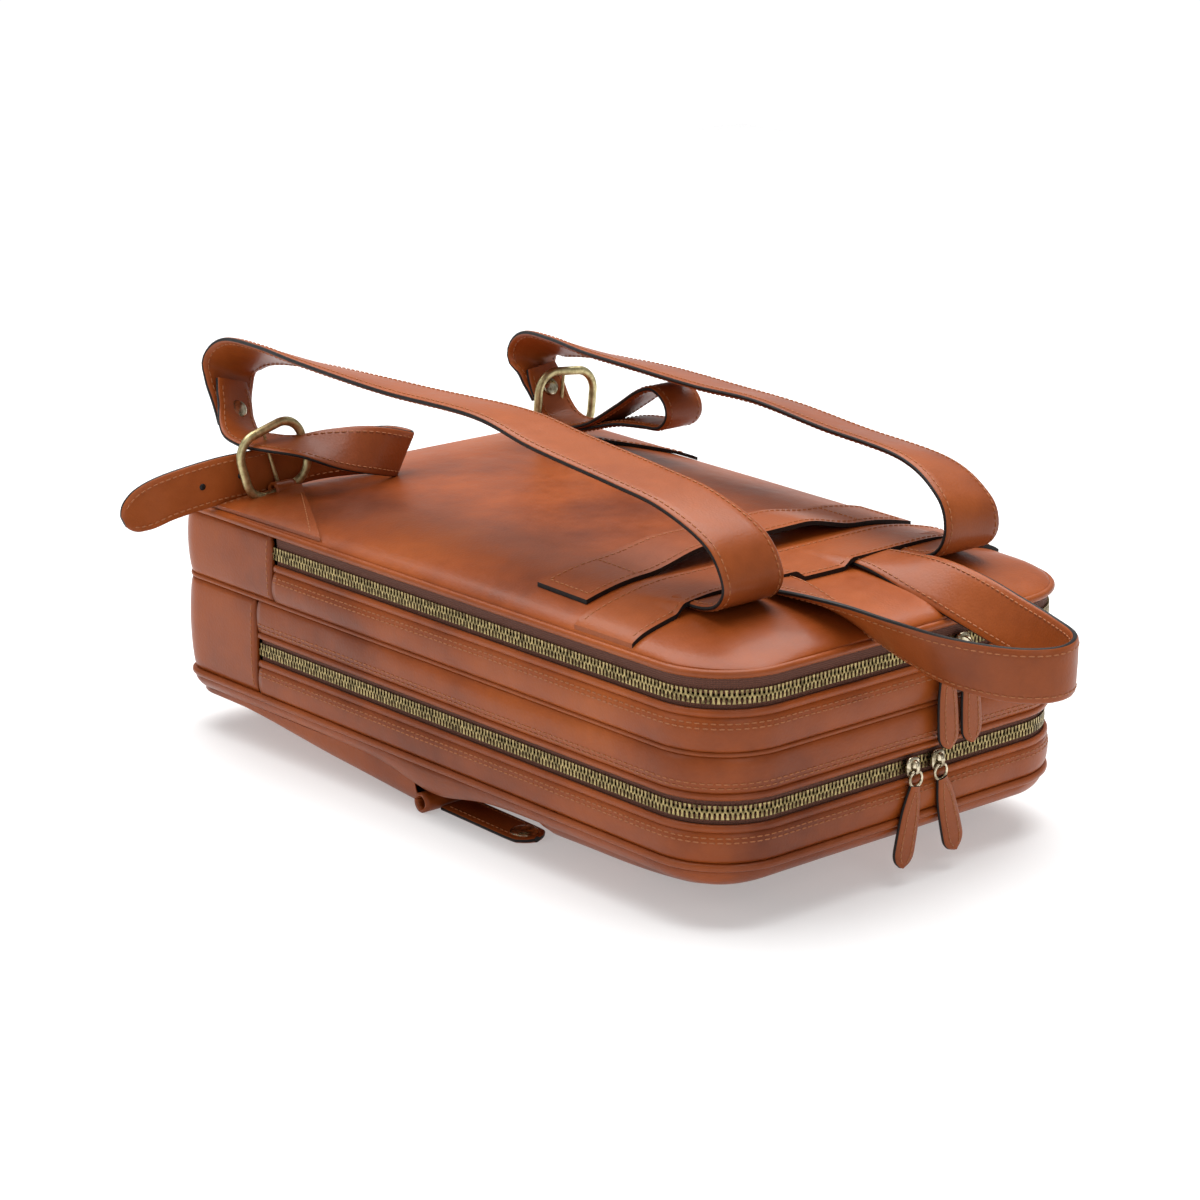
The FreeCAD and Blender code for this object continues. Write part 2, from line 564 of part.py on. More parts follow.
def handle():
    """A carrying loop: flat legs from the yoke's edge, turning on edge beyond the handle end."""
    root = YOKE_Y - YOKE_WIDTH / 2 - HANDLE_ROOT_GAP
    low = PANEL_TOP + SEAM_GAP
    top = low + HANDLE_THICK
    half = HANDLE_SPREAD / 2
    edge = HANDLE_Y - PIPING_PROUD - HANDLE_EDGE_GAP
    tip = root - HANDLE_REACH + half + HANDLE_THICK / 2

    def loop(thickness, width):
        bottom = top - width
        outer = cylinder(half + thickness / 2, (0, tip, bottom), (0, tip, top))
        inner = cylinder(half - thickness / 2, (0, tip, -BIG), (0, tip, BIG))
        bow = outer.cut(inner).common(box((-BIG, -BIG, -BIG), (BIG, tip, BIG)))
        legs = [box((s * half - thickness / 2, tip, bottom), (s * half + thickness / 2, edge, top))
                for s in (-1, 1)]
        return bow.fuse(legs).removeSplitter()

    upright = loop(HANDLE_THICK, HANDLE_WIDTH)
    flats = [box((s * half - HANDLE_WIDTH / 2, edge, low), (s * half + HANDLE_WIDTH / 2, root, top))
             for s in (-1, 1)]
    under = [V(-BIG, edge, low), V(-BIG, edge, -BIG), V(-BIG, tip, -BIG),
             V(-BIG, tip, top - HANDLE_WIDTH)]
    upright = upright.cut(Part.Face(Part.makePolygon(under + under[:1])).extrude(V(2 * BIG, 0, 0)))
    full = upright.fuse(flats).removeSplitter()
    core = loop(HANDLE_CORE, HANDLE_THICK + 2 * HANDLE_CORE)
    core.translate(V(0, 0, -HANDLE_CORE))
    core = core.common(full)
    save("handle_core", core)
    save("handle_loop", full.cut(core))


def slider(x, chain, reach):
    """A slider's outer plate, and the bail on it that its ring passes through from side to side."""
    face = HANDLE_Y - SLIDER_GAP - SLIDER_DEPTH
    half = SLIDER_WIDTH / 2
    tall = BAIL_HEIGHT / 2
    plate = box((x - half, face, chain - SLIDER_HEIGHT / 2),
                (x + half, face + SLIDER_DEPTH, chain + SLIDER_HEIGHT / 2))
    bail = box((x - BAIL_WIDTH / 2, face - reach, chain - tall), (x + BAIL_WIDTH / 2, face, chain + tall))
    room = box((x - half, face - reach + BAIL_WIRE, chain - tall + BAIL_WIRE),
               (x + half, face, chain + tall - BAIL_WIRE))
    return plate.fuse(bail.cut(room)).removeSplitter()


def sliders():
    """Four sliders with a ring and a leather pull on each."""
    for name, x in SLIDER_X.items():
        layer = name.split("_")[0]
        chain = {"rear": REAR_ZIP, "front": FRONT_ZIP}[layer]
        reach = BAIL_DEPTH[layer]
        save("slider_" + name, slider(x, chain, reach))
        y = HANDLE_Y - SLIDER_GAP - SLIDER_DEPTH - reach + BAIL_WIRE + RING_WIRE + PULL_CLEARANCE
        top = chain - BAIL_HEIGHT / 2 + BAIL_WIRE + RING_WIRE + PULL_CLEARANCE
        eye = top - RING_RADIUS
        wire = Part.makeTorus(RING_RADIUS, RING_WIRE, V(x, y, eye), V(0, 1, 0))
        save("pull_ring_" + name, wire)
        radius = PULL_WIDTH / 2
        low = eye - RING_RADIUS
        bottom = low - PULL_LENGTH + radius
        y0, y1 = y - PULL_THICK / 2, y + PULL_THICK / 2
        tab = box((x - radius, y0, bottom), (x + radius, y1, low - RING_WIRE))
        tab = tab.fuse(cylinder(radius, (x, y0, bottom), (x, y1, bottom)))
        neck = cylinder(PULL_NECK, (x - PULL_NECK, y, low), (x + PULL_NECK, y, low))
        tab = tab.fuse(neck)
        tab.rotate(V(x, y, eye), V(0, 1, 0), PULL_LEAN[name])
        tab = tab.cut(wire)
        save("pull_tab_" + name, tab.removeSplitter())


def main():
    """Write every sub-part."""
    os.makedirs("parts", exist_ok=True)
    front_shell()
    pocket()
    closing_tabs()
    middle_shell()
    back_flap()
    bands()
    corner_tabs()
    buckles()
    straps()
    handle()
    sliders()


main()
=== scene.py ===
"""A leather convertible briefcase, lying on its front face with its padded back up.

The sections follow the bag as it is put together: the walls first, then the zips, the panels, the
bands, the straps and their buckles, the handle, and the pulls. Everything is in metres.
"""

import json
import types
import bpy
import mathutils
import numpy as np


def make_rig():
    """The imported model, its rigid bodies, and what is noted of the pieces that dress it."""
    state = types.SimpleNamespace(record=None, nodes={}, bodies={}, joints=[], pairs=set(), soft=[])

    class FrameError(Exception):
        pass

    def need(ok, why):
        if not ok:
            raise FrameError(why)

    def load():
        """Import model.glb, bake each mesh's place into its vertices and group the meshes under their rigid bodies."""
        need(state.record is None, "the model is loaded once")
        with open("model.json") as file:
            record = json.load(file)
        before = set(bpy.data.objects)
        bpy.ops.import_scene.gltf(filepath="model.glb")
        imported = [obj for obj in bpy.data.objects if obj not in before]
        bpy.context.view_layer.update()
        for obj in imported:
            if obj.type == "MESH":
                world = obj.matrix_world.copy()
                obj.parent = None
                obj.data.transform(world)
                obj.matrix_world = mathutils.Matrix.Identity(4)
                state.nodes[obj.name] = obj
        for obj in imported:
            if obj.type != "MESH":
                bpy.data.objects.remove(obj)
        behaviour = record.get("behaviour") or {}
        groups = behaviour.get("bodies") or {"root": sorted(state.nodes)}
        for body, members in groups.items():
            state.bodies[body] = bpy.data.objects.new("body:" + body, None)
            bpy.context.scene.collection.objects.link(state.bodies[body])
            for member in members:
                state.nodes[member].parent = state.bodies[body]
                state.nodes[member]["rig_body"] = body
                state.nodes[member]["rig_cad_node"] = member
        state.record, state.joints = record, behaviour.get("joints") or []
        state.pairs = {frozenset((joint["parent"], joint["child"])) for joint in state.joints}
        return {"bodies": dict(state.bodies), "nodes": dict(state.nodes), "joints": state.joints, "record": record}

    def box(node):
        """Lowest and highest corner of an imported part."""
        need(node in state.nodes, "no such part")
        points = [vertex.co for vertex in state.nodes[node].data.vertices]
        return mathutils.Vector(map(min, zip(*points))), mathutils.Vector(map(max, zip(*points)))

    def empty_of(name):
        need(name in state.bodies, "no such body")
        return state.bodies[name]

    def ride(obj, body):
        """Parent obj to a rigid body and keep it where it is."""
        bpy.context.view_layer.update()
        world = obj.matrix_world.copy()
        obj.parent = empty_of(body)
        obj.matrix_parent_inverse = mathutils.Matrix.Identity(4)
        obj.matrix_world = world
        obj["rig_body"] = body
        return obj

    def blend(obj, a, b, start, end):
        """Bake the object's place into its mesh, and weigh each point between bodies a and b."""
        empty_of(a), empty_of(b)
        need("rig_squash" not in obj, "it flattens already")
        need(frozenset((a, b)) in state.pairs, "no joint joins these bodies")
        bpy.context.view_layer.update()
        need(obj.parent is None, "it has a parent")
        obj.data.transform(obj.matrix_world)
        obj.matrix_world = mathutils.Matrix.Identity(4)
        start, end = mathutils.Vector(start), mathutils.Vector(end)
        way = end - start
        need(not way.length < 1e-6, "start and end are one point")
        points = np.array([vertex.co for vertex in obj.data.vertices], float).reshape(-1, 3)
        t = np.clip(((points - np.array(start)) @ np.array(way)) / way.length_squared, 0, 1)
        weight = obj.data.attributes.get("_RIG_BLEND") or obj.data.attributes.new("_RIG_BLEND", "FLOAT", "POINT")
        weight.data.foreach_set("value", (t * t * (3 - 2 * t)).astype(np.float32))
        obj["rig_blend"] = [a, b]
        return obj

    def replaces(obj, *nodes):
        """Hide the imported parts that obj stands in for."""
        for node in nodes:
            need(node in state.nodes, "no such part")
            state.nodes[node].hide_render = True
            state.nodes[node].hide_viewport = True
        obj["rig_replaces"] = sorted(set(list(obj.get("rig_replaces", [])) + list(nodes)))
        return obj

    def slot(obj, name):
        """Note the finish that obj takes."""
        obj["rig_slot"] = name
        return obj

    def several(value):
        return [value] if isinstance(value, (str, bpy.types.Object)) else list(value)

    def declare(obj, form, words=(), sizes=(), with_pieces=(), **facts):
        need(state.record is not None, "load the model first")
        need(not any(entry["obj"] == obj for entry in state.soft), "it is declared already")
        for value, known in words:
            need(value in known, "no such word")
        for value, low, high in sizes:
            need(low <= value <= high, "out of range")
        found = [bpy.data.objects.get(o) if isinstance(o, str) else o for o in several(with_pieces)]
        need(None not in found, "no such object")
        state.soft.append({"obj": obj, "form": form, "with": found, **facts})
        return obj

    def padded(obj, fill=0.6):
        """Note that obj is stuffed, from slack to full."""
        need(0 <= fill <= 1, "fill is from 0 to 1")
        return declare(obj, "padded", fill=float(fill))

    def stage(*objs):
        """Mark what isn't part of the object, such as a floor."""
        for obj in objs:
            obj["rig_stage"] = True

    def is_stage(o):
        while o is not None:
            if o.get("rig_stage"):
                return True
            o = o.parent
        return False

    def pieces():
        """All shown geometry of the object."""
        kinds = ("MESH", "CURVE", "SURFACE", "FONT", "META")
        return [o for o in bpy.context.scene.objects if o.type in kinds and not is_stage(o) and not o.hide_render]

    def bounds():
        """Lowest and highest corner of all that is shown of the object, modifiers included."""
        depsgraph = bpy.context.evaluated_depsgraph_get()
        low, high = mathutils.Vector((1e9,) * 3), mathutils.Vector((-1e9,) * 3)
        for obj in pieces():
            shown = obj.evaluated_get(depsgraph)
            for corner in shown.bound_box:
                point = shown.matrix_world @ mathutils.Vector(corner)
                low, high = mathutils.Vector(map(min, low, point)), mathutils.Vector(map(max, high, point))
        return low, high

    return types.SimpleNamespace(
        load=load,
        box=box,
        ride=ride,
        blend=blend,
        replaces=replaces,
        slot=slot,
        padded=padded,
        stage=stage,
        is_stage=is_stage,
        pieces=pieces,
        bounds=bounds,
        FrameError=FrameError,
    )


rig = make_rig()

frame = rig.load()
cad_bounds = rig.bounds()

import json

import bmesh
import bpy
import numpy as np


# ---- The table, the light and the camera
# A pale table top, one large soft light over the bag and a small one at each side, and a long lens.
# The sky is white at the horizon and dims above it, so that the table's far edge isn't seen.

table_reach = 1.5
floor_mesh = bpy.data.meshes.new("table_top")
floor_corners = [(a * table_reach, b * table_reach, 0) for a, b in ((-1, -1), (1, -1), (1, 1), (-1, 1))]
floor_mesh.from_pydata(floor_corners, [], [(0, 1, 2, 3)])
floor = bpy.data.objects.new("table_top", floor_mesh)
bpy.context.collection.objects.link(floor)
floor_paint = bpy.data.materials.new("pale_table")
floor_paint.use_nodes = True
floor_inputs = floor_paint.node_tree.nodes["Principled BSDF"].inputs
floor_inputs["Base Color"].default_value = (0.62, 0.62, 0.62, 1)
floor_inputs["Roughness"].default_value = 0.9
floor_inputs["Emission Color"].default_value = (1.0, 1.0, 1.0, 1)
floor_inputs["Emission Strength"].default_value = 0.34
floor_mesh.materials.append(floor_paint)
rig.stage(floor)

world = bpy.data.worlds.new("studio")
world.use_nodes = True
backdrop = world.node_tree.nodes["Background"]
backdrop.inputs["Color"].default_value = (1.0, 1.0, 1.0, 1)
direction = world.node_tree.nodes.new("ShaderNodeTexCoord")
split = world.node_tree.nodes.new("ShaderNodeSeparateXYZ")
fade = world.node_tree.nodes.new("ShaderNodeMapRange")
fade.inputs["From Min"].default_value = -0.02
fade.inputs["From Max"].default_value = 0.10
fade.inputs["To Min"].default_value = 1.05
fade.inputs["To Max"].default_value = 0.34
world.node_tree.links.new(direction.outputs["Generated"], split.inputs["Vector"])
world.node_tree.links.new(split.outputs["Z"], fade.inputs["Value"])
world.node_tree.links.new(fade.outputs["Result"], backdrop.inputs["Strength"])
bpy.context.scene.world = world
bpy.context.scene.view_settings.view_transform = "Standard"


def soft_light(name, place, target, size, power):
    """A square area light at a place, turned to face its target."""
    lamp = bpy.data.lights.new(name, "AREA")
    lamp.size = size
    lamp.energy = power
    holder = bpy.data.objects.new(name, lamp)
    holder.location = place
    aim = np.array(target) - np.array(place)
    holder.rotation_euler = (np.arctan2(np.hypot(aim[0], aim[1]), -aim[2]), 0.0,
                             np.arctan2(aim[1], aim[0]) - np.pi / 2)
    bpy.context.collection.objects.link(holder)


soft_light("over_the_bag", (0.25, 0.35, 2.0), (0.0, 0.1, 0.0), 2.4, 88.0)
soft_light("beside_the_handle", (-0.5, -1.7, 0.9), (0.0, -0.1, 0.08), 0.9, 3.5)
soft_light("beside_the_base", (-1.7, 0.3, 0.9), (0.0, 0.0, 0.08), 0.8, 3.5)

azimuth, elevation = np.radians(-39.99), np.radians(17.01)
distance = 1.6127
looked_at = np.array([0.0117, -0.0223, 0.078])
back = np.array([np.sin(azimuth) * np.cos(elevation), -np.cos(azimuth) * np.cos(elevation),
                 np.sin(elevation)])
lens = bpy.data.cameras.new("camera")
lens.lens = 96.0
lens.sensor_width = 36.0
camera = bpy.data.objects.new("camera", lens)
camera.location = looked_at + distance * back
camera.rotation_euler = (np.pi / 2 - elevation, 0.0, azimuth)
bpy.context.collection.objects.link(camera)
bpy.context.scene.camera = camera


# ---- The walls of the two compartments
# Cowhide 2.2 mm thick, stitched to the panels along piped seams. Between the seams it bellies out.
# Each compartment has a wall on either side of its zip, and a plain wall round the base end.

handle_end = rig.box("front_gusset_lower")[0][1]
base_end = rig.box("front_base_gusset")[1][1]
half_at_handle, half_at_base = 0.115, 0.128
handle_corner, base_corner = 0.038, 0.016
front_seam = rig.box("front_piping")[0][2]
middle_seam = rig.box("middle_piping")[0][2]
back_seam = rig.box("back_piping")[0][2]
front_zip_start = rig.box("front_gusset_lower")[1][1]
rear_zip_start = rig.box("rear_gusset")[1][1]
hide = 0.0022
wall_step = 0.003
wall_rings = {}


def rounded_loop(corners, radii, step):
    """Evenly spaced points round a plan outline, anticlockwise. The arc at each corner has its centre on
    the line that halves the corner, at radius / sin(half angle), and touches both sides."""
    pieces = []
    for i, radius in enumerate(radii):
        here = np.array(corners[i])
        before = np.array(corners[i - 1]) - here
        after = np.array(corners[(i + 1) % len(corners)]) - here
        before, after = before / np.hypot(*before), after / np.hypot(*after)
        half = np.arccos(before @ after) / 2
        centre = here + (before + after) / np.hypot(*(before + after)) * radius / np.sin(half)
        first = here + before * radius / np.tan(half) - centre
        angles = np.arctan2(first[1], first[0]) + np.linspace(0.0, np.pi - 2 * half, 24)
        pieces.append(centre + radius * np.stack([np.cos(angles), np.sin(angles)], 1))
    loop = np.concatenate(pieces + [pieces[0][:1]])
    along = np.concatenate([[0.0], np.cumsum(np.hypot(*np.diff(loop, axis=0).T))])
    spots = np.linspace(0.0, along[-1], int(round(along[-1] / step)) + 1)[:-1]
    return np.stack([np.interp(spots, along, loop[:, k]) for k in (0, 1)], 1)


def plan_path(step, low_y=None, high_y=None):
    """Points round the case and their outward normals. With high_y it is the stretch on the handle's
    side of that line, and with low_y the stretch on the base's side, each in walking order."""
    corners = [(half_at_base, base_end), (-half_at_base, base_end), (-half_at_handle, handle_end),
               (half_at_handle, handle_end)]
    loop = rounded_loop(corners, (base_corner, base_corner, handle_corner, handle_corner), step)
    ahead, behind = np.roll(loop, -1, axis=0), np.roll(loop, 1, axis=0)
    tangent = ahead - behind
    tangent /= np.hypot(tangent[:, 0], tangent[:, 1])[:, None]
    normal = np.stack([tangent[:, 1], -tangent[:, 0]], 1)
    if high_y is not None or low_y is not None:
        keep = loop[:, 1] < high_y if high_y is not None else loop[:, 1] > low_y
        first = np.flatnonzero(keep & ~np.roll(keep, 1))[0]
        order = (np.arange(len(loop)) + first) % len(loop)
        order = order[keep[order]]
        loop, normal = loop[order], normal[order]
    return loop, normal


def waves(a, b, seed, low, high, count=9):
    """A smooth uneven surface between about -1 and 1: sines of the two inputs at mixed angles and
    wavelengths, the short ones weaker, all from one seed."""
    draw = np.random.default_rng(seed)
    pitch = np.geomspace(low, high, count)
    turn = draw.uniform(0, np.pi, count)
    shift = draw.uniform(0, 2 * np.pi, count)
    total = sum(np.sin(2 * np.pi * p * (a * np.cos(t) + b * np.sin(t)) + s) / (1 + k)
                for k, (p, t, s) in enumerate(zip(pitch, turn, shift)))
    return total / 2.0


def add_piece(name, points, faces, materials, uv=None, paint=None, smooth=True):
    """A mesh object from points and faces, with its UV per face corner and its material per face."""
    mesh = bpy.data.meshes.new(name)
    mesh.from_pydata(points, [], faces)
    for material in materials:
        mesh.materials.append(material)
    if uv is not None:
        mesh.uv_layers.new(name="UVMap").data.foreach_set("uv", np.asarray(uv, dtype=np.float32).ravel())
    if paint is not None:
        mesh.polygons.foreach_set("material_index", np.asarray(paint, dtype=np.int32))
    shell = bmesh.new()
    shell.from_mesh(mesh)
    bmesh.ops.recalc_face_normals(shell, faces=shell.faces)
    shell.to_mesh(mesh)
    shell.free()
    if smooth:
        mesh.shade_smooth()
    piece = bpy.data.objects.new(name, mesh)
    bpy.context.collection.objects.link(piece)
    return piece


def sweep(name, rings, materials, loop=False, bands=None):
    """A closed skin over rings of points: point j of ring i joins point j + 1 and ring i + 1. The end
    rings are capped, unless the path is a loop. UV is metres along the path and round the section.
    bands gives the material of each side of the section."""
    n, m = rings.shape[:2]
    i, j = [a.ravel() for a in np.meshgrid(np.arange(n if loop else n - 1), np.arange(m), indexing="ij")]
    i2, j2 = (i + 1) % n, (j + 1) % m
    faces = np.stack([i * m + j, i * m + j2, i2 * m + j2, i2 * m + j], 1).tolist()
    middle = rings.mean(axis=1)
    steps = np.linalg.norm(np.diff(np.concatenate([middle, middle[:1]]), axis=0), axis=1)
    along = np.concatenate([[0.0], np.cumsum(steps)])
    section = np.concatenate([rings[n // 2], rings[n // 2, :1]])
    around = np.concatenate([[0.0], np.cumsum(np.linalg.norm(np.diff(section, axis=0), axis=1))])
    corners = ((i, j), (i, j + 1), (i + 1, j + 1), (i + 1, j))
    uv = np.stack([np.stack([along[a], around[b]], 1) for a, b in corners], 1).reshape(-1, 2)
    paint = np.zeros(len(faces), dtype=int) if bands is None else np.asarray(bands)[j]
    if not loop:
        faces += [list(range(m))[::-1], list(range((n - 1) * m, n * m))]
        ends = np.stack([np.full(m, along[0]), around[:-1]], 1)
        uv = np.concatenate([uv, ends[::-1], ends])
        paint = np.concatenate([paint, [paint.max()] * 2])
    return add_piece(name, rings.reshape(-1, 3), faces, materials, uv, paint)


def nodes_of(material):
    """The material's shader, and short ways to add a node and to join two of them."""
    material.use_nodes = True
    tree = material.node_tree

    def add(kind, **settings):
        """A new node of a kind, with its settings."""
        node = tree.nodes.new("ShaderNode" + kind)
        for key, value in settings.items():
            setattr(node, key, value)
        return node

    return tree.nodes["Principled BSDF"], add, tree.links.new


def put(node, **values):
    """Set a node's inputs, with _ for each space in an input's name, and give the node back."""
    for key, value in values.items():
        node.inputs[key.replace("_", " ")].default_value = value
    return node


def dyed(add, link, source, stops):
    """The colour that a ramp gives for a source. Its stops are (place, colour) pairs."""
    node = add("ValToRGB")
    points = node.color_ramp.elements
    while len(points) < len(stops):
        points.new(0.5)
    for point, (place, colour) in zip(points, stops):
        point.position = place
        point.color = (*colour, 1.0)
    link(source, node.inputs["Fac"])
    return node.outputs["Color"]


def raised(add, link, height, strength, distance, hollow=False):
    """A relief that stands out where the height is great, or that is hollow there."""
    node = put(add("Bump", invert=hollow), Strength=strength, Distance=distance)
    link(height, node.inputs["Height"])
    return node


def cowhide(name, bright, middle, dark, gloss, creases):
    """Glazed smooth leather: slow cloudy changes of dye, pores that are small pits between raised
    cells, and long fine creases that run one way more than the other."""
    material = bpy.data.materials.new(name)
    shader, add, link = nodes_of(material)
    where = add("TexCoord").outputs["Object"]
    clouds = put(add("TexNoise"), Scale=9.0, Detail=5.0, Roughness=0.55)
    link(where, clouds.inputs["Vector"])
    mottle = put(add("TexNoise"), Scale=160.0, Detail=4.0)
    link(where, mottle.inputs["Vector"])
    shade = put(add("MapRange"), To_Min=0.86, To_Max=1.12)
    link(mottle.outputs["Fac"], shade.inputs["Value"])
    tint = put(add("Mix", data_type="RGBA", blend_type="MULTIPLY"), Factor=1.0)
    dye = dyed(add, link, clouds.outputs["Fac"], ((0.30, dark), (0.50, middle), (0.72, bright)))
    link(dye, tint.inputs["A"])
    link(shade.outputs["Result"], tint.inputs["B"])
    link(tint.outputs["Result"], shader.inputs["Base Color"])
    pores = put(add("TexVoronoi", feature="SMOOTH_F1"), Scale=850.0)
    link(where, pores.inputs["Vector"])
    stretch = put(add("Mapping"), Scale=(60.0, 22.0, 60.0), Rotation=(0.3, 0.2, 0.5))
    link(where, stretch.inputs["Vector"])
    folds = put(add("TexNoise", noise_type="RIDGED_MULTIFRACTAL"), Scale=1.0, Detail=5.0)
    link(stretch.outputs["Vector"], folds.inputs["Vector"])
    grain = raised(add, link, pores.outputs["Distance"], 0.30, 0.00025)
    creasing = raised(add, link, folds.outputs["Fac"], creases, 0.0011, hollow=True)
    link(grain.outputs["Normal"], creasing.inputs["Normal"])
    link(creasing.outputs["Normal"], shader.inputs["Normal"])
    rough = put(add("MapRange"), To_Min=gloss - 0.07, To_Max=gloss + 0.10)
    link(mottle.outputs["Fac"], rough.inputs["Value"])
    link(rough.outputs["Result"], shader.inputs["Roughness"])
    put(shader, Specular_IOR_Level=0.24, Coat_Weight=0.07, Coat_Roughness=0.16)
    return material


case_hide = cowhide("case_cowhide", (0.37, 0.085, 0.012), (0.27, 0.056, 0.008), (0.13, 0.025, 0.005),
                    gloss=0.38, creases=0.35)
strap_hide = cowhide("strap_cowhide", (0.33, 0.078, 0.014), (0.265, 0.058, 0.010), (0.17, 0.035, 0.007),
                     gloss=0.40, creases=0.22)


def wall(name, node, bulge, seed, low_y=None, high_y=None):
    """A wall between two seams. At a share t of its height its face stands out by bulge * sin(pi t)
    to the power 0.8, and turns in at both seams. Slow waves make it uneven."""
    z0, z1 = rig.box(node)[0][2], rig.box(node)[1][2]
    path, normal = plan_path(wall_step, low_y, high_y)
    t = np.linspace(0.0, 1.0, 17)
    rise = np.sin(np.pi * t) ** 0.8
    s = np.arange(len(path)) * wall_step
    uneven = 1.0 + 0.45 * waves(s[:, None], t[None, :] * 0.03, seed, 4.0, 40.0)
    out = bulge * rise[None, :] * uneven - 0.0007 * (1.0 - rise[None, :]) ** 4
    out = np.concatenate([out, np.full((len(path), 2), -hide)], 1)
    heights = np.concatenate([z0 + (z1 - z0) * t, [z1, z0]])
    plan = path[:, None, :] + normal[:, None, :] * out[:, :, None]
    rings = np.concatenate([plan, np.broadcast_to(heights[None, :, None], out.shape + (1,))], 2)
    piece = sweep(name, rings, [case_hide])
    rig.replaces(piece, node)
    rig.slot(piece, "leather")
    wall_rings[name] = (rings, normal)
    return piece


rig.ride(wall("front_wall_lower", "front_gusset_lower", 0.0016, 1, high_y=front_zip_start), "front_shell")
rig.ride(wall("front_wall_upper", "front_gusset_upper", 0.0019, 2, high_y=front_zip_start), "middle_shell")
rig.ride(wall("rear_wall", "rear_gusset", 0.0021, 3, high_y=rear_zip_start), "middle_shell")
front_base = wall("front_base_wall", "front_base_gusset", 0.0013, 4, low_y=front_zip_start)
rear_base = wall("rear_base_wall", "rear_base_gusset", 0.0012, 5, low_y=rear_zip_start)
front_bend = {"start": (0, 0, front_seam + 0.004), "end": (0, 0, middle_seam)}
rear_bend = {"start": (0, 0, middle_seam + 0.003), "end": (0, 0, back_seam)}
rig.blend(front_base, "front_shell", "middle_shell", **front_bend)
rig.blend(rear_base, "middle_shell", "back_flap", **rear_bend)


# ---- The piped seams
# A cord of 3.2 mm wrapped in the same cowhide, sewn in between the walls and each panel. The seam
# between the compartments has a thinner one.

def piping(name, node, body, radius, out):
    """A round welt along the outline: a circle of 12 points carried round, with its centre at out."""
    z = (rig.box(node)[0][2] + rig.box(node)[1][2]) / 2
    step = 0.0025
    path, normal = plan_path(step)
    angle = np.linspace(0, 2 * np.pi, 12, endpoint=False)
    s = np.arange(len(path)) * step
    girth = radius * (1.0 + 0.05 * waves(s, s * 0, 7, 9.0, 80.0))
    away = out + girth[:, None] * np.cos(angle)
    plan = path[:, None, :] + normal[:, None, :] * away[:, :, None]
    rings = np.concatenate([plan, (z + girth[:, None] * np.sin(angle))[:, :, None]], 2)
    piece = sweep(name, rings, [strap_hide], loop=True)
    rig.ride(piece, body)
    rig.replaces(piece, node)
    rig.slot(piece, "leather")


piping("front_seam_piping", "front_piping", "front_shell", 0.0019, -0.0002)
piping("middle_seam_piping", "middle_piping", "middle_shell", 0.0012, -0.0008)
piping("back_seam_piping", "back_piping", "back_flap", 0.0019, -0.0002)


# ---- The zips
# Woven brown tape with a rib along its length, and antique brass teeth of 2.3 mm pitch. The two rows
# mesh: each tooth's head lies between two heads of the other row.

def woven(name, coordinate, threads, colours, depth, rough):
    """Cloth in plain weave: two sets of waves multiplied give its colour and its relief. Threads are
    their direction, scale and unevenness, and colours the dark and the light one."""
    material = bpy.data.materials.new(name)
    shader, add, link = nodes_of(material)
    where = add("TexCoord").outputs[coordinate]
    weave = add("Math", operation="MULTIPLY")
    for k, (direction, scale, uneven) in enumerate(threads):
        wave = put(add("TexWave", bands_direction=direction, wave_type="BANDS"),
                   Scale=scale, Distortion=uneven)
        link(where, wave.inputs["Vector"])
        link(wave.outputs["Fac"], weave.inputs[k])
    dye = dyed(add, link, weave.outputs["Value"], ((0.0, colours[0]), (1.0, colours[1])))
    link(dye, shader.inputs["Base Color"])
    link(raised(add, link, weave.outputs["Value"], depth, 0.0003).outputs["Normal"], shader.inputs["Normal"])
    put(shader, Roughness=rough)
    return material


def old_brass(name, bright, dark, rough):
    """Tumbled antique brass: polished where it is rubbed, brown in the hollows, with fine scratches."""
    material = bpy.data.materials.new(name)
    shader, add, link = nodes_of(material)
    stain = put(add("TexNoise"), Scale=420.0, Detail=4.0)
    link(add("TexCoord").outputs["Object"], stain.inputs["Vector"])
    tone = dyed(add, link, stain.outputs["Fac"], ((0.35, dark), (0.62, bright)))
    link(tone, shader.inputs["Base Color"])
    wear = put(add("MapRange"), To_Min=rough + 0.12, To_Max=rough - 0.08)
    link(stain.outputs["Fac"], wear.inputs["Value"])
    link(wear.outputs["Result"], shader.inputs["Roughness"])
    scratches = raised(add, link, stain.outputs["Fac"], 0.12, 0.0001)
    link(scratches.outputs["Normal"], shader.inputs["Normal"])
    put(shader, Metallic=1.0)
    return material


tape_cloth = woven("zip_tape_cloth", "UV", (("Y", 330.0, 0.6), ("X", 480.0, 0.0)),
                   ((0.070, 0.020, 0.010), (0.19, 0.062, 0.030)), 0.6, 0.8)
teeth_brass = old_brass("zip_teeth_brass", (0.42, 0.33, 0.15), (0.12, 0.09, 0.04), 0.36)
tooth_pitch = 0.0023


def repeat(name, template, faces, centres, across, along, up, materials):
    """Copies of a small shape. A template point (a, b, c) goes to centre + a across + b along + c up."""
    points = (centres[:, None, :] + template[None, :, :1] * across[:, None, :]
              + template[None, :, 1:2] * along[:, None, :] + template[None, :, 2:] * up[:, None, :])
    shift = len(template) * np.arange(len(centres))
    every = []
    for face in faces:
        every += (np.array(face)[None, :] + shift[:, None]).tolist()
    return add_piece(name, points.reshape(-1, 3), every, materials, smooth=False)


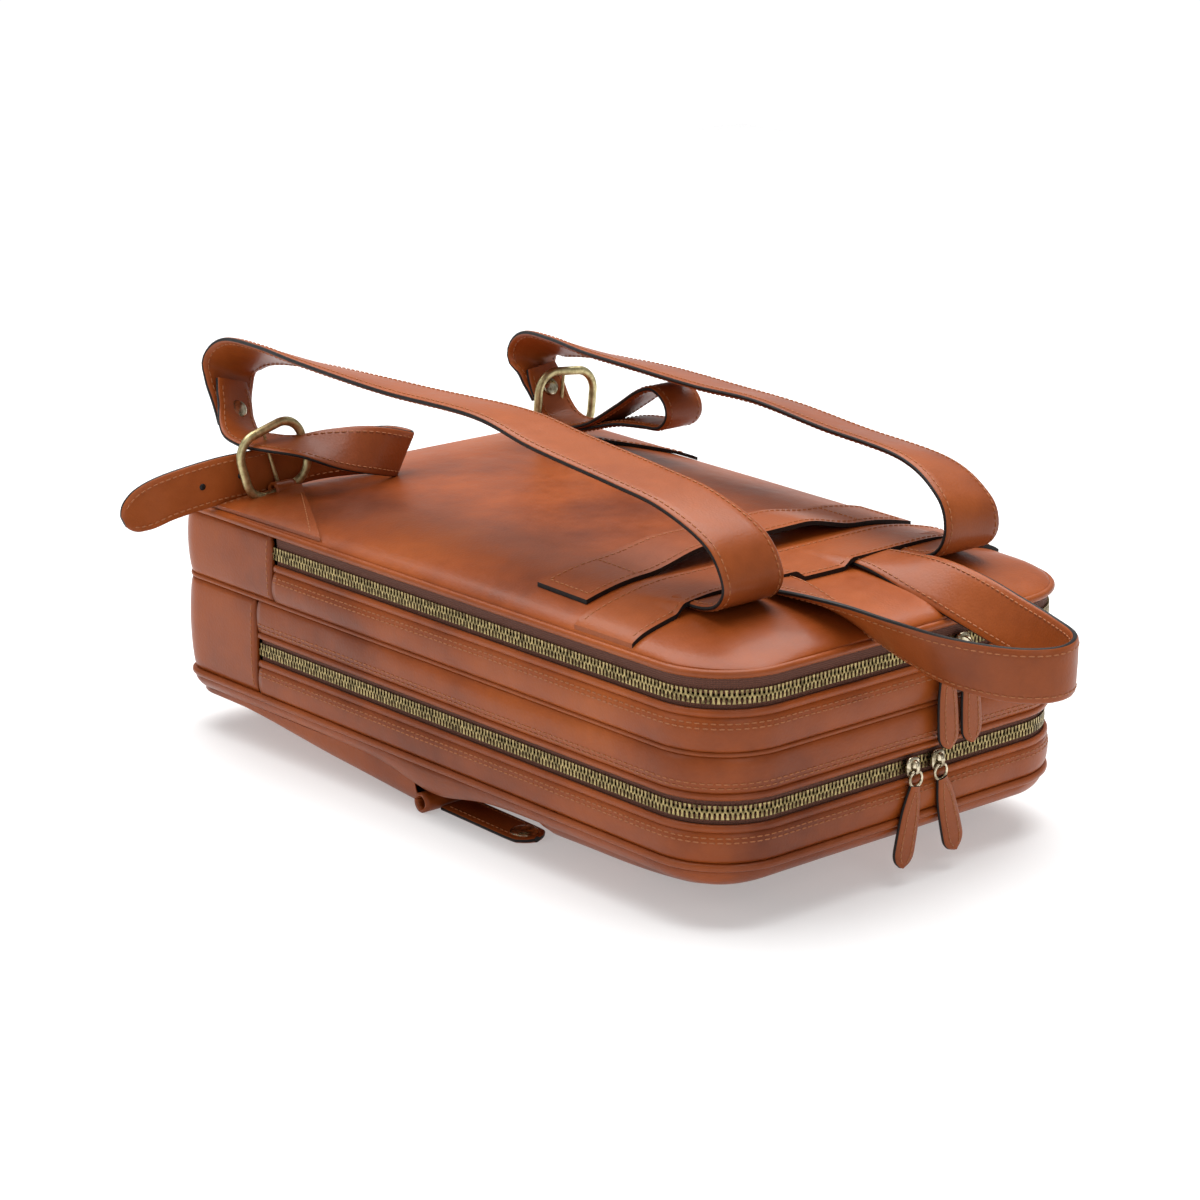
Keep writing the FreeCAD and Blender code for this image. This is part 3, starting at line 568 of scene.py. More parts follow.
def zip_row(name, node, body, upper, offset, end_y):
    """One row of teeth round the handle end. A tooth is a waisted block: a wide foot on the tape and a
    domed head that reaches 0.5 mm past the middle of the zip."""
    lo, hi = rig.box(node)
    foot, sign = (hi[2], -1.0) if upper else (lo[2], 1.0)
    path, normal = plan_path(tooth_pitch / 4, high_y=end_y)
    path, normal = path[offset::4], normal[offset::4]
    side = np.stack([-normal[:, 1], normal[:, 0], np.zeros(len(path))], 1)
    out = np.concatenate([normal, np.zeros((len(path), 1))], 1)
    up = np.tile([0.0, 0.0, sign], (len(path), 1))
    centres = np.concatenate([path - normal * 0.0016, np.full((len(path), 1), foot)], 1)
    heights = (0.0002, 0.0016, 0.0023, 0.0034, 0.0039)
    halves = ((0.00075, 0.0010), (0.00050, 0.0010), (0.00050, 0.0010), (0.00070, 0.0011),
              (0.00040, 0.0007))
    template = np.array([(a * w, b * d, h) for h, (w, d) in zip(heights, halves)
                         for a, b in ((-1, -1), (1, -1), (1, 1), (-1, 1))])
    faces = [(3, 2, 1, 0), (16, 17, 18, 19)]
    faces += [(4 * k + a, 4 * k + (a + 1) % 4, 4 * k + 4 + (a + 1) % 4, 4 * k + 4 + a)
              for k in range(4) for a in range(4)]
    piece = repeat(name, template, faces, centres, side, out, up, [teeth_brass])
    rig.ride(piece, body)
    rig.replaces(piece, node)
    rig.slot(piece, "zip_teeth")


def zip_tape(name, node, body, end_y, edge_turn):
    """A tape strip 0.9 mm thick, with a soft rib where its teeth are clamped on."""
    z0, z1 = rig.box(node)[0][2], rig.box(node)[1][2]
    path, normal = plan_path(wall_step, high_y=end_y)
    t = np.linspace(0, 1, 9)
    toward_teeth = t if edge_turn > 0 else 1 - t
    out = -0.0012 - 0.0006 * toward_teeth + 0.0008 * np.exp(-((toward_teeth - 0.9) / 0.08) ** 2)
    out = np.concatenate([out, np.full(2, -0.0030)])
    reach = 0.0022 * edge_turn
    z = np.concatenate([z0 + (z1 - z0) * t, [z1, z0]])
    z = z + reach * np.concatenate([toward_teeth, [toward_teeth[-1], toward_teeth[0]]])
    plan = path[:, None, :] + normal[:, None, :] * out[None, :, None]
    rings = np.concatenate([plan, np.broadcast_to(z[None, :, None], plan.shape[:2] + (1,))], 2)
    piece = sweep(name, rings, [tape_cloth])
    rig.ride(piece, body)
    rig.replaces(piece, node)
    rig.slot(piece, "zip_tape")


zip_row("front_teeth_lower", "front_zip_teeth_lower", "front_shell", False, 0, front_zip_start)
zip_row("front_teeth_upper", "front_zip_teeth_upper", "middle_shell", True, 2, front_zip_start)
zip_row("rear_teeth_lower", "rear_zip_teeth_lower", "middle_shell", False, 0, rear_zip_start)
zip_row("rear_teeth_upper", "rear_zip_teeth_upper", "back_flap", True, 2, rear_zip_start)
zip_tape("front_tape_lower", "front_zip_tape_lower", "front_shell", front_zip_start, 1.0)
zip_tape("front_tape_upper", "front_zip_tape_upper", "middle_shell", front_zip_start, -1.0)
zip_tape("rear_tape_lower", "rear_zip_tape_lower", "middle_shell", rear_zip_start, 1.0)
zip_tape("rear_tape_upper", "rear_zip_tape_upper", "back_flap", rear_zip_start, -1.0)


def lip(name, body, end_y, low, high):
    """The turned edge of a wall beside a zip: a flat ellipse between two heights, run along the wall."""
    path, normal = plan_path(wall_step, high_y=end_y)
    turn = np.linspace(0.0, 2 * np.pi, 14, endpoint=False)
    plan = path[:, None, :] + normal[:, None, :] * (-0.0002 + 0.0013 * np.cos(turn))[None, :, None]
    z = (low + high) / 2 + (high - low) / 2 * np.sin(turn)
    rings = np.concatenate([plan, np.broadcast_to(z[None, :, None], plan.shape[:2] + (1,))], 2)
    piece = sweep(name, rings, [case_hide])
    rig.ride(piece, body)
    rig.slot(piece, "leather")


tape_low, tape_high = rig.box("front_zip_tape_lower")[0][2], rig.box("front_zip_tape_upper")[1][2]
lip("front_lip_lower", "front_shell", front_zip_start, tape_low - 0.0008, tape_low + 0.0030)
lip("front_lip_upper", "middle_shell", front_zip_start, tape_high - 0.0026, tape_high + 0.0008)
tape_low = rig.box("rear_zip_tape_lower")[0][2]
lip("rear_lip", "middle_shell", rear_zip_start, tape_low - 0.0008, tape_low + 0.0030)


# ---- The padded back panel
# One piece of cowhide over foam. It rises steeply from its seam, is highest near the handle end, and
# falls away in a long curve towards the base.

panel_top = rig.box("back_padding")[1][2] + hide
panel_foot = back_seam + 0.003
crown_y, crown_radius = -0.111, 2.9


def half_width(y):
    """Half the width of the plan at y, less what the corner arcs take off near either end."""
    share = (y - handle_end) / (base_end - handle_end)
    half = half_at_handle + (half_at_base - half_at_handle) * share
    for end, radius in ((handle_end, handle_corner), (base_end, base_corner)):
        inside = np.clip(radius - np.abs(y - end), 0.0, radius)
        half = half - (radius - np.sqrt(radius ** 2 - inside ** 2))
    return half


def shoulder(d, reach):
    """Quarter of an ellipse: 0 at the seam, and 1 from a reach inside it."""
    t = np.clip(d / reach, 0.0, 1.0)
    return np.sqrt(1.0 - (1.0 - t) ** 2)


def panel_height(x, y):
    """Height of the panel: a long crown times a rise from each seam, with slow uneven waves. At the
    sides a quarter of the rise is a tight shoulder, and the rest is a sine over 55 mm."""
    crown = panel_top - (y - crown_y) ** 2 / (2 * crown_radius) - panel_foot
    inside = half_width(y) - np.abs(x)
    long_rise = np.sin(np.pi / 2 * np.clip(inside / 0.055, 0.0, 1.0))
    sides = 0.25 * shoulder(inside, 0.012) + 0.75 * long_rise
    ends = shoulder(y - handle_end, 0.050) * shoulder(base_end - y, 0.045)
    uneven = 0.0007 * waves(x, y, 21, 3.0, 16.0, 7) * sides * ends
    return panel_foot + crown * sides * ends + uneven


def edge_spacing(count, crowd):
    """Numbers from -1 to 1 that crowd towards both ends: sin of an even spread, part linear."""
    t = np.linspace(-1.0, 1.0, count)
    return (1 - crowd) * t + crowd * np.sin(t * np.pi / 2)


def panel_grid(height):
    """Points over the plan: row by row along the length, each row spread between the two edges."""
    inset = 0.0004
    v, u = np.meshgrid(edge_spacing(120, 0.95), edge_spacing(90, 0.9), indexing="ij")
    y = (handle_end + base_end) / 2 + v * ((base_end - handle_end) / 2 - inset)
    x = u * (half_width(y) - inset)
    return np.stack([x, y, height(x, y)], 2)


def closed_sheet(name, face, under, materials, edges=(0, 0, 0, 0)):
    """A closed piece between two grids of points, with a rim that joins them all round. Edges number
    the rim's materials: first row, last column, last row, first column."""
    n, m = face.shape[:2]
    points = np.concatenate([face.reshape(-1, 3), under.reshape(-1, 3)])
    i, j = [a.ravel() for a in np.meshgrid(np.arange(n - 1), np.arange(m - 1), indexing="ij")]
    top = np.stack([i * m + j, i * m + j + 1, (i + 1) * m + j + 1, (i + 1) * m + j], 1)
    rim = np.concatenate([np.arange(m), np.arange(1, n) * m + m - 1,
                          (n - 1) * m + np.arange(m - 2, -1, -1), np.arange(n - 2, 0, -1) * m])
    following = np.roll(rim, -1)
    side = np.stack([rim, following, following + n * m, rim + n * m], 1)
    faces = np.concatenate([top, top[:, ::-1] + n * m, side]).tolist()
    rim_paint = np.repeat(edges, [m - 1, n - 1, m - 1, n - 1])
    paint = np.concatenate([np.zeros(2 * len(top), dtype=int), rim_paint])
    return add_piece(name, points, faces, materials, paint=paint)


def pad(name, grid, floor_z):
    """A stuffed panel: the grid as its face, over a flat underside at floor_z."""
    under = grid.copy()
    under[:, :, 2] = floor_z
    return closed_sheet(name, grid, under, [case_hide])


back_pad = pad("back_panel_pad", panel_grid(panel_height), back_seam + 0.0010)
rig.ride(back_pad, "back_flap")
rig.replaces(back_pad, "back_panel", "back_padding")
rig.slot(back_pad, "leather")
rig.padded(back_pad, fill=0.8)


# ---- The front panel
# The face that the bag lies on: cowhide over a stuffed middle, which bellies down to the table
# between the handle end and the mouth of the pocket.

belly_y1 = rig.box("pocket_welt")[0][1] - 0.006
tongue_low, tongue_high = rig.box("pocket_tab_right")
tongue_x = (tongue_low[0] + tongue_high[0]) / 2
tongue_y = (tongue_low[1] + tongue_high[1]) / 2


def bump(x, centre, half, soft):
    """1 within half of the centre, and smoothly down to 0 over a soft distance."""
    t = np.clip((half + soft - np.abs(x - centre)) / soft, 0.0, 1.0)
    return t * t * (3 - 2 * t)


def belly_height(x, y):
    """Height of the front panel: 10 mm under its seam, and down to the table over the stuffed middle.
    It sags onto the ends of the pocket's mouth, and leaves room for each closing tongue to lift."""
    inside = half_width(y) - np.abs(x)
    ends = shoulder(y - handle_end, 0.020) * shoulder(base_end - y, 0.016)
    shelf = 0.0105 * shoulder(inside, 0.016) * ends
    across = shoulder(inside - 0.012, 0.048) ** 1.2
    length = shoulder(y - handle_end - 0.018, 0.075) ** 1.4 * shoulder(belly_y1 + 0.010 - y, 0.038) ** 1.2
    uneven = 0.0006 * waves(x, y, 33, 3.0, 18.0, 7) * shoulder(inside, 0.03)
    mouth = 0.0080 * np.exp(-((y - belly_y1) / 0.030) ** 2)
    sag = mouth * shoulder(inside, 0.010) * bump(np.abs(x), 0.115, 0.015, 0.030)
    room = 1.0 - bump(np.abs(x), tongue_x, 0.011, 0.007) * bump(y, tongue_y, 0.036, 0.010)
    drop = shelf + np.maximum(0.0172 * across * length, sag) * room + uneven
    return np.maximum(front_seam - drop, 0.0002)


front_pad = pad("front_panel_pad", panel_grid(belly_height), front_seam + 0.0006)
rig.ride(front_pad, "front_shell")
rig.replaces(front_pad, "front_panel", "front_padding")
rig.slot(front_pad, "leather")
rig.padded(front_pad, fill=0.6)


# ---- The thread
# Waxed orange thread, sewn at 3.6 mm a stitch along the seams and along the edges of the bands and
# the straps. Each stitch is a small spindle that lies half in the leather.

thread = bpy.data.materials.new("orange_thread")
shader, add, link = nodes_of(thread)
twist = put(add("TexWave", wave_type="BANDS", bands_direction="DIAGONAL"), Scale=900.0)
link(add("TexCoord").outputs["Object"], twist.inputs["Vector"])
tone = dyed(add, link, twist.outputs["Fac"], ((0.0, (0.26, 0.075, 0.020)), (1.0, (0.42, 0.140, 0.040))))
link(tone, shader.inputs["Base Color"])
put(shader, Roughness=0.6)


def evenly(points, step):
    """The same line with its points evenly spaced. Any more columns are carried along."""
    along = np.concatenate([[0.0], np.cumsum(np.linalg.norm(np.diff(points[:, :3], axis=0), axis=1))])
    spots = np.linspace(0.0, along[-1], max(int(round(along[-1] / step)), 1) + 1)
    return np.stack([np.interp(spots, along, points[:, k]) for k in range(points.shape[1])], 1)


def sewn(name, rows, pitch=0.0036):
    """Stitches along rows. A row is a line of points and the way out of the leather at each."""
    centres, alongs, ups = [], [], []
    for line, outward in rows:
        even = evenly(np.concatenate([line, np.broadcast_to(outward, line.shape)], 1), pitch)
        middle = (even[1:] + even[:-1]) / 2
        step = np.diff(even[:, :3], axis=0)
        centres.append(middle[:, :3])
        alongs.append(step / np.linalg.norm(step, axis=1)[:, None])
        ups.append(middle[:, 3:] / np.linalg.norm(middle[:, 3:], axis=1)[:, None])
    centres, alongs, ups = np.concatenate(centres), np.concatenate(alongs), np.concatenate(ups)
    sides = np.cross(alongs, ups)
    turn = np.linspace(0, 2 * np.pi, 5, endpoint=False)
    spindle = ((-0.0013, 0.00012), (-0.0009, 0.00036), (0.0009, 0.00036), (0.0013, 0.00012))
    template = np.array([(girth * np.cos(a), place, girth * np.sin(a) + 0.00008)
                         for place, girth in spindle for a in turn])
    faces = [(4, 3, 2, 1, 0), (15, 16, 17, 18, 19)]
    faces += [(5 * k + a, 5 * k + (a + 1) % 5, 5 * k + 5 + (a + 1) % 5, 5 * k + 5 + a)
              for k in range(3) for a in range(5)]
    piece = repeat(name, template, faces, centres, sides, alongs, ups, [thread])
    piece.data.shade_smooth()
    return piece


def wall_rows(rings, normals, columns):
    """Rows along a wall, on the given columns of its face."""
    out = np.concatenate([normals, np.zeros((len(normals), 1))], 1)
    return [(rings[:, k], out) for k in columns]


sewn_walls = (("front_wall_lower", "front_shell", (11, 13)), ("front_wall_upper", "middle_shell", (3, 5)),
              ("rear_wall", "middle_shell", (11, 13)))
for name, body, columns in sewn_walls:
    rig.ride(sewn(name + "_stitches", wall_rows(*wall_rings[name], columns)), body)
sewn_bases = (("front_base_wall", "front_shell", "middle_shell", front_bend),
              ("rear_base_wall", "middle_shell", "back_flap", rear_bend))
for name, first_body, second_body, bend in sewn_bases:
    rings, normals = wall_rings[name]
    rows = [(rings[k, 1:16], np.append(normals[k], 0.0)) for k in (1, -2)]
    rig.blend(sewn(name + "_stitches", rows), first_body, second_body, **bend)


# ---- The yoke band and the trolley band
# Two flat bands of doubled cowhide with black painted edges. The yoke is sewn over the roots of the
# straps and the handle. The trolley band is sewn at its ends and stands free between them.

# Black paint for the edges of the bands and straps. The same material is the painted shade in the left strap's punched
# holes.
edge_paint_and_hole_shade = bpy.data.materials.new("black_edge_paint")
shader, add, link = nodes_of(edge_paint_and_hole_shade)
brushed = put(add("TexNoise"), Scale=300.0)
link(add("TexCoord").outputs["Object"], brushed.inputs["Vector"])
tone = dyed(add, link, brushed.outputs["Fac"], ((0.3, (0.005, 0.004, 0.004)), (0.8, (0.014, 0.011, 0.010))))
link(tone, shader.inputs["Base Color"])
link(raised(add, link, brushed.outputs["Fac"], 0.3, 0.0003).outputs["Normal"], shader.inputs["Normal"])
put(shader, Roughness=0.5, Specular_IOR_Level=0.25)


def slab(name, grid, drop, materials, edges=(0, 0, 0, 0)):
    """A flat piece: the grid as one face, and the same grid moved by drop in Z as the other."""
    piece = closed_sheet(name, grid, grid + np.array([0.0, 0.0, drop]), materials, edges)
    piece.data.set_sharp_from_angle(angle=np.radians(50))
    return piece


band_thick = 0.0022
strap_root_x, handle_root_x = 0.066, 0.031
yoke_y0, yoke_y1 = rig.box("yoke_band")[0][1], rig.box("yoke_band")[1][1]


def yoke_height(x, y):
    """The yoke lies on the panel, and rises at its handle side over the four roots under it."""
    halves = ((strap_root_x, 0.019), (handle_root_x, 0.013))
    roots = sum(bump(x, side * centre, half, 0.006) for side in (-1, 1) for centre, half in halves)
    near = np.clip((yoke_y1 - y) / (yoke_y1 - yoke_y0), 0.0, 1.0) ** 1.5
    return panel_height(x, y) + band_thick + 0.0034 * np.clip(roots, 0, 1) * near


v, u = np.meshgrid(np.linspace(yoke_y0, yoke_y1, 26), edge_spacing(150, 0.4), indexing="ij")
x = u * (half_width(v) - 0.0010)
yoke_grid = np.stack([x, v, yoke_height(x, v)], 2)
yoke = slab("yoke_band_leather", yoke_grid, -band_thick, [strap_hide, edge_paint_and_hole_shade], (1, 0, 0, 0))
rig.ride(yoke, "back_flap")
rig.replaces(yoke, "yoke_band", "strap_anchors")
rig.slot(yoke, "strap_leather")
upward = np.array([0.0, 0.0, 1.0])
rows = [(yoke_grid[k, 3:-3], upward) for k in (2, -3)]
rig.ride(sewn("yoke_stitches", rows), "back_flap")

band_lo, band_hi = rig.box("trolley_band")
v, u = np.meshgrid(np.linspace(band_lo[1], band_hi[1], 20), np.linspace(-1, 1, 140), indexing="ij")
x = u * band_hi[0]
lift = 0.0066 * bump(x, 0.0, 0.030, 0.038) * (1.0 - 0.35 * (v - band_lo[1]) / (band_hi[1] - band_lo[1]))
band_grid = np.stack([x, v, panel_height(x, v) + band_thick + 0.0002 + lift], 2)
band = slab("trolley_band_leather", band_grid, -band_thick, [strap_hide, edge_paint_and_hole_shade], (1, 1, 1, 1))
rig.ride(band, "back_flap")
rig.replaces(band, "trolley_band")
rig.slot(band, "strap_leather")
rows = [(band_grid[k, 3:-3], upward) for k in (2, -3)]
rows += [(band_grid[2:-2, k], upward) for k in (3, 22, -4, -23)]
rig.ride(sewn("trolley_band_stitches", rows), "back_flap")


# ---- The corner tabs
# A triangle of cowhide sewn into the side seam near the base, with painted edges. Its point is
# rolled round the lower bar of the ring, which turns in it.

ring_x, ring_y = 0.09207, 0.105
bar_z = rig.box("buckle_frame_left")[0][2] - 0.0025
tab_y0, tab_y1 = 0.0290, 0.1210
tab_thick = 0.0018
roll_half, roll_outer, roll_inner = 0.0062, 0.0044, 0.0030
for label, side in (("left", -1), ("right", 1)):
    s, t = np.meshgrid(np.linspace(0, 1, 30), np.linspace(0, 1, 24), indexing="ij")
    seam_y = tab_y0 + (tab_y1 - tab_y0) * t
    point_y = ring_y - 0.007 + 0.009 * t
    point_x = ring_x - 0.007 + 0.010 * t
    y = seam_y + (point_y - seam_y) * s
    x = (half_width(seam_y) - 0.0015) * (1 - s) + point_x * s
    rise = 0.0022 + 0.0020 * np.clip((s - 0.78) / 0.22, 0, 1) ** 2
    grid = np.stack([side * x, y, panel_height(x, y) + rise], 2)
    tab = slab("corner_tab_" + label, grid, -tab_thick, [strap_hide, edge_paint_and_hole_shade], (0, 1, 1, 1))
    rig.ride(tab, "back_flap")
    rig.slot(tab, "strap_leather")
    angle = np.linspace(0, 2 * np.pi, 24, endpoint=False)
    spots = np.linspace(-roll_half, roll_half, 9)
    circle = np.broadcast_to(np.stack([np.cos(angle), np.sin(angle)], 1), (9, 24, 2))
    tube = np.concatenate([roll_outer * circle, roll_inner * circle])
    across = np.concatenate([spots, spots[::-1]])
    rings = np.stack([np.broadcast_to((side * ring_x + across)[:, None], tube.shape[:2]),
                      ring_y + tube[:, :, 0], bar_z + tube[:, :, 1]], 2)
    roll = sweep("corner_tab_roll_" + label, rings.transpose(1, 0, 2), [strap_hide], loop=True)
    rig.ride(roll, "back_flap")
    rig.slot(roll, "strap_leather")
    if side > 0:
        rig.replaces(roll, "corner_tabs")
    rows = [(grid[1:-4, k], upward) for k in (2, -3)]
    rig.ride(sewn("corner_tab_stitches_" + label, rows), "back_flap")


# ---- The shoulder straps
# Two layers of cowhide glued back to back, 36 mm wide, sewn near both edges and painted black along
# them. From the yoke each curls back over itself, runs the length of the bag, and turns down.

def curve_through(stations, step):
    """Rows evenly spaced along a Catmull-Rom curve through the stations: each span is a cubic that
    leaves a station in the direction of the line between its two neighbours."""
    k = np.asarray(stations, dtype=float)
    k = np.concatenate([2 * k[:1] - k[1:2], k, 2 * k[-1:] - k[-2:-1]])
    t = np.linspace(0, 1, 30, endpoint=False)[None, :, None]
    a, b, c, d = k[:-3, None], k[1:-2, None], k[2:-1, None], k[3:, None]
    rows = 0.5 * (2 * b + (c - a) * t + (2 * a - 5 * b + 4 * c - d) * t ** 2
                  + (3 * b - a - 3 * c + d) * t ** 3)
    return evenly(np.concatenate([rows.reshape(-1, k.shape[1]), k[-2:-1]]), step)


def ribbon(name, stations, thick, materials, step=0.0025):
    """A strap along stations of place, width direction and width. Its section is two flat faces with
    rounded edges between them. It gives the piece, and a rule for a row on either face."""
    rows = curve_through(stations, step)
    place, across, width = rows[:, :3], rows[:, 3:6], rows[:, 6]
    ahead = np.gradient(place, axis=0)
    ahead /= np.linalg.norm(ahead, axis=1)[:, None]
    across = across - ahead * np.sum(across * ahead, axis=1)[:, None]
    across /= np.linalg.norm(across, axis=1)[:, None]
    out = np.cross(across, ahead)
    flat = np.linspace(-1, 1, 7)
    edge = np.array([(1.0, 0.30), (1.0, 0.0), (1.0, -0.30)])
    face, back = np.stack([flat, np.full(7, 0.5)], 1), np.stack([-flat, np.full(7, -0.5)], 1)
    shape = np.concatenate([face, edge, back, -edge])
    bulge = np.array([0] * 7 + [0.7, 1.0, 0.7] + [0] * 7 + [-0.7, -1.0, -0.7]) * thick * 0.45
    crown = 0.00025 * (1 - shape[:, 0] ** 2) * np.sign(shape[:, 1])
    half = width[:, None] / 2 - thick * 0.45
    rings = (place[:, None] + across[:, None] * (half * shape[None, :, 0] + bulge)[:, :, None]
             + out[:, None] * (thick * shape[:, 1] + crown)[None, :, None])
    bands = [0] * 7 + [1] * 2 + [0] * 8 + [1] * 2 + [0]
    piece = sweep(name, rings, materials, bands=bands)
    piece.data.set_sharp_from_angle(angle=np.radians(40))

    def row(share, face):
        """A line along the strap at a share of its half width, on the face of that sign, and its way
        out of the leather. It stops short of both ends."""
        inset = share * (width / 2 - 0.0032)
        line = place + across * inset[:, None] + out * face * (thick / 2 + 0.0001)
        return line[3:-3], (out * face)[3:-3]

    return piece, row


def edge_seams(name, row, faces=(-1, 1), pitch=0.0036):
    """The seams near both edges of a strap, on one face or both."""
    return sewn(name, [row(side, face) for side in (-1, 1) for face in faces], pitch)


strap_wide, strap_thick = 0.036, 0.0029


def rolled(x, y, z, roll, width=strap_wide, spin=0.0):
    """A station whose width lies across the bag, rolled about the strap's run and spun about Z."""
    r, s = np.radians(roll), np.radians(spin)
    return (x, y, z, np.cos(r) * np.cos(s), np.cos(r) * np.sin(s), -np.sin(r), width)


strap_stations = {
    "left": (
        (-0.065, -0.184, 0.1350, 0), (-0.065, -0.204, 0.1352, 0), (-0.0655, -0.2155, 0.1400, 0),
        (-0.066, -0.2185, 0.150, 0), (-0.068, -0.209, 0.1655, 0), (-0.070, -0.181, 0.177, 0),
        (-0.072, -0.150, 0.182, 0), (-0.074, -0.096, 0.188, 1), (-0.076, -0.054, 0.1940, 6),
        (-0.079, 0.012, 0.1930, 9), (-0.083, 0.072, 0.1940, 16), (-0.085, 0.112, 0.1945, 24),
        (-0.0865, 0.141, 0.1920, 30, 0.035), (-0.0885, 0.154, 0.1835, 30, 0.034),
        (-0.0905, 0.1535, 0.1730, 24, 0.031), (-0.0930, 0.1475, 0.1610, 16, 0.027, 10),
        (-0.0950, 0.1435, 0.1530, 12, 0.024, 15)),
    "right": (
        (0.066, -0.184, 0.1350, 0), (0.066, -0.205, 0.1352, 0), (0.066, -0.219, 0.1395, 1),
        (0.067, -0.2235, 0.150, 5), (0.068, -0.216, 0.1635, 9), (0.071, -0.188, 0.1745, 12),
        (0.075, -0.130, 0.1770, 13), (0.078, -0.080, 0.1800, 14), (0.080, -0.035, 0.1795, 11),
        (0.083, 0.018, 0.1795, 12), (0.084, 0.056, 0.1790, 16), (0.0845, 0.088, 0.1790, 24),
        (0.085, 0.1115, 0.1765, 30, 0.035), (0.086, 0.1215, 0.1680, 28, 0.033),
        (0.087, 0.1185, 0.1565, 22, 0.029), (0.088, 0.113, 0.1470, 14, 0.025)),
}
strap_bend = {"start": (0, 0, 0.1385), "end": (0, 0, 0.152)}
for side, places in strap_stations.items():
    stations = [rolled(*place) for place in places]
    strap, row = ribbon("shoulder_strap_leather_" + side, stations, strap_thick, [strap_hide, edge_paint_and_hole_shade])
    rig.blend(strap, "back_flap", "strap_" + side, **strap_bend)
    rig.replaces(strap, "shoulder_strap_" + side)
    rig.slot(strap, "strap_leather")
    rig.blend(edge_seams("shoulder_strap_stitches_" + side, row), "back_flap", "strap_" + side, **strap_bend)


# ---- The narrow straps
# Straps of doubled cowhide 25 mm wide, with painted edges. Each is riveted to the end of a wide
# strap, goes through its ring, folds, and comes back behind it.

narrow_wide, narrow_thick = 0.025, 0.0026


def facing(x, y, z, wx, wy, wz, width=narrow_wide):
    """A station with its width direction given outright."""
    length = np.sqrt(wx * wx + wy * wy + wz * wz)
    return (x, y, z, wx / length, wy / length, wz / length, width)


narrow_stations = {
    "left": (
        (-0.0915, 0.1500, 0.1760, 0.92, 0.15, -0.34, 0.022),
        (-0.0932, 0.1452, 0.1680, 0.94, 0.20, -0.26), (-0.0960, 0.1392, 0.1600, 0.93, 0.32, -0.12),
        (-0.0995, 0.1300, 0.1548, 0.88, 0.46, 0.0), (-0.1010, 0.1175, 0.1528, 0.80, 0.58, 0.04),
        (-0.0965, 0.1045, 0.1522, 0.70, 0.70, 0.08), (-0.0860, 0.0955, 0.1508, 0.62, 0.74, 0.20),
        (-0.0690, 0.0885, 0.1480, 0.45, 0.60, 0.65), (-0.0500, 0.0850, 0.1450, 0.28, 0.25, 0.92),
        (-0.0370, 0.0860, 0.1415, 0.38, 0.05, 0.92), (-0.0275, 0.0895, 0.1385, 0.48, 0.0, 0.88),
        (-0.0250, 0.0960, 0.1383, 0.48, 0.0, 0.88), (-0.0310, 0.1015, 0.1390, 0.34, 0.0, 0.94),
        (-0.0480, 0.1075, 0.1395, 0.08, 0.0, 1.0), (-0.0700, 0.1115, 0.1392, -0.03, 0.0, 1.0),
        (-0.0980, 0.1135, 0.1362, -0.06, 0.0, 1.0), (-0.1250, 0.1155, 0.1350, -0.05, 0.0, 1.0),
        (-0.1500, 0.1185, 0.1312, -0.10, 0.0, 0.99),
        (-0.1630, 0.1207, 0.1272, -0.18, 0.0, 0.98, 0.0245),
        (-0.1702, 0.1217, 0.1243, -0.24, 0.0, 0.97, 0.0205),
        (-0.1742, 0.1222, 0.1226, -0.27, 0.0, 0.96, 0.0145),
        (-0.1762, 0.1225, 0.1217, -0.28, 0.0, 0.96, 0.007)),
    "right": (
        (0.0860, 0.1165, 0.1640, 0.95, 0.0, -0.30, 0.022),
        (0.0870, 0.1135, 0.1560, 0.97, 0.0, -0.22), (0.0880, 0.1080, 0.1450, 0.99, 0.0, -0.12),
        (0.0885, 0.1000, 0.1375, 1, 0, 0.0), (0.0890, 0.0870, 0.1365, 1, 0, 0),
        (0.0895, 0.0670, 0.1420, 1, 0, 0), (0.0900, 0.0450, 0.1550, 1, 0, 0),
        (0.0905, 0.0280, 0.1660, 1, 0, 0), (0.0905, 0.0160, 0.1695, 1, 0, 0),
        (0.0905, 0.0065, 0.1645, 1, 0, 0), (0.0905, 0.0045, 0.1565, 1, 0, 0),
        (0.0905, 0.0110, 0.1500, 1, 0, 0), (0.0905, 0.0240, 0.1485, 1, 0, 0),
        (0.0910, 0.0460, 0.1455, 1, 0, 0), (0.0915, 0.0700, 0.1385, 1, 0, 0),
        (0.0918, 0.0860, 0.1340, 1, 0, 0)),
}
for side, places in narrow_stations.items():
    stations = [facing(*place) for place in places]
    strap, row = ribbon("narrow_strap_leather_" + side, stations, narrow_thick, [strap_hide, edge_paint_and_hole_shade],
                        step=0.0012)
    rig.ride(strap, "strap_" + side)
    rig.replaces(strap, "strap_end_" + side)
    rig.slot(strap, "strap_leather")
    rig.ride(edge_seams("narrow_strap_stitches_" + side, row), "strap_" + side)


# ---- The rivets, the rings and their prongs
# Antique brass: a domed rivet through each strap's end, and on each tab a cast ring of flattened
# wire, with a thin prong that turns on its lower bar.

ring_brass = old_brass("ring_brass", (0.58, 0.50, 0.27), (0.36, 0.30, 0.15), 0.40)
bright_brass = old_brass("bright_brass", (0.70, 0.62, 0.45), (0.22, 0.17, 0.10), 0.22)


def lathed(name, profile, centre, axis, materials):
    """A part made on a lathe: a profile of (radius, place along the axis) pairs."""
    axis = np.array(axis, dtype=float) / np.linalg.norm(axis)
    first = np.cross(axis, [0.3, 0.2, 0.9])
    first /= np.linalg.norm(first)
    second = np.cross(axis, first)
    angle = np.linspace(0, 2 * np.pi, 28, endpoint=False)[None, :, None]
    radius, along = np.array(profile).T
    rings = (np.array(centre) + along[:, None, None] * axis
             + radius[:, None, None] * (np.cos(angle) * first + np.sin(angle) * second))
    return sweep(name, rings, materials)


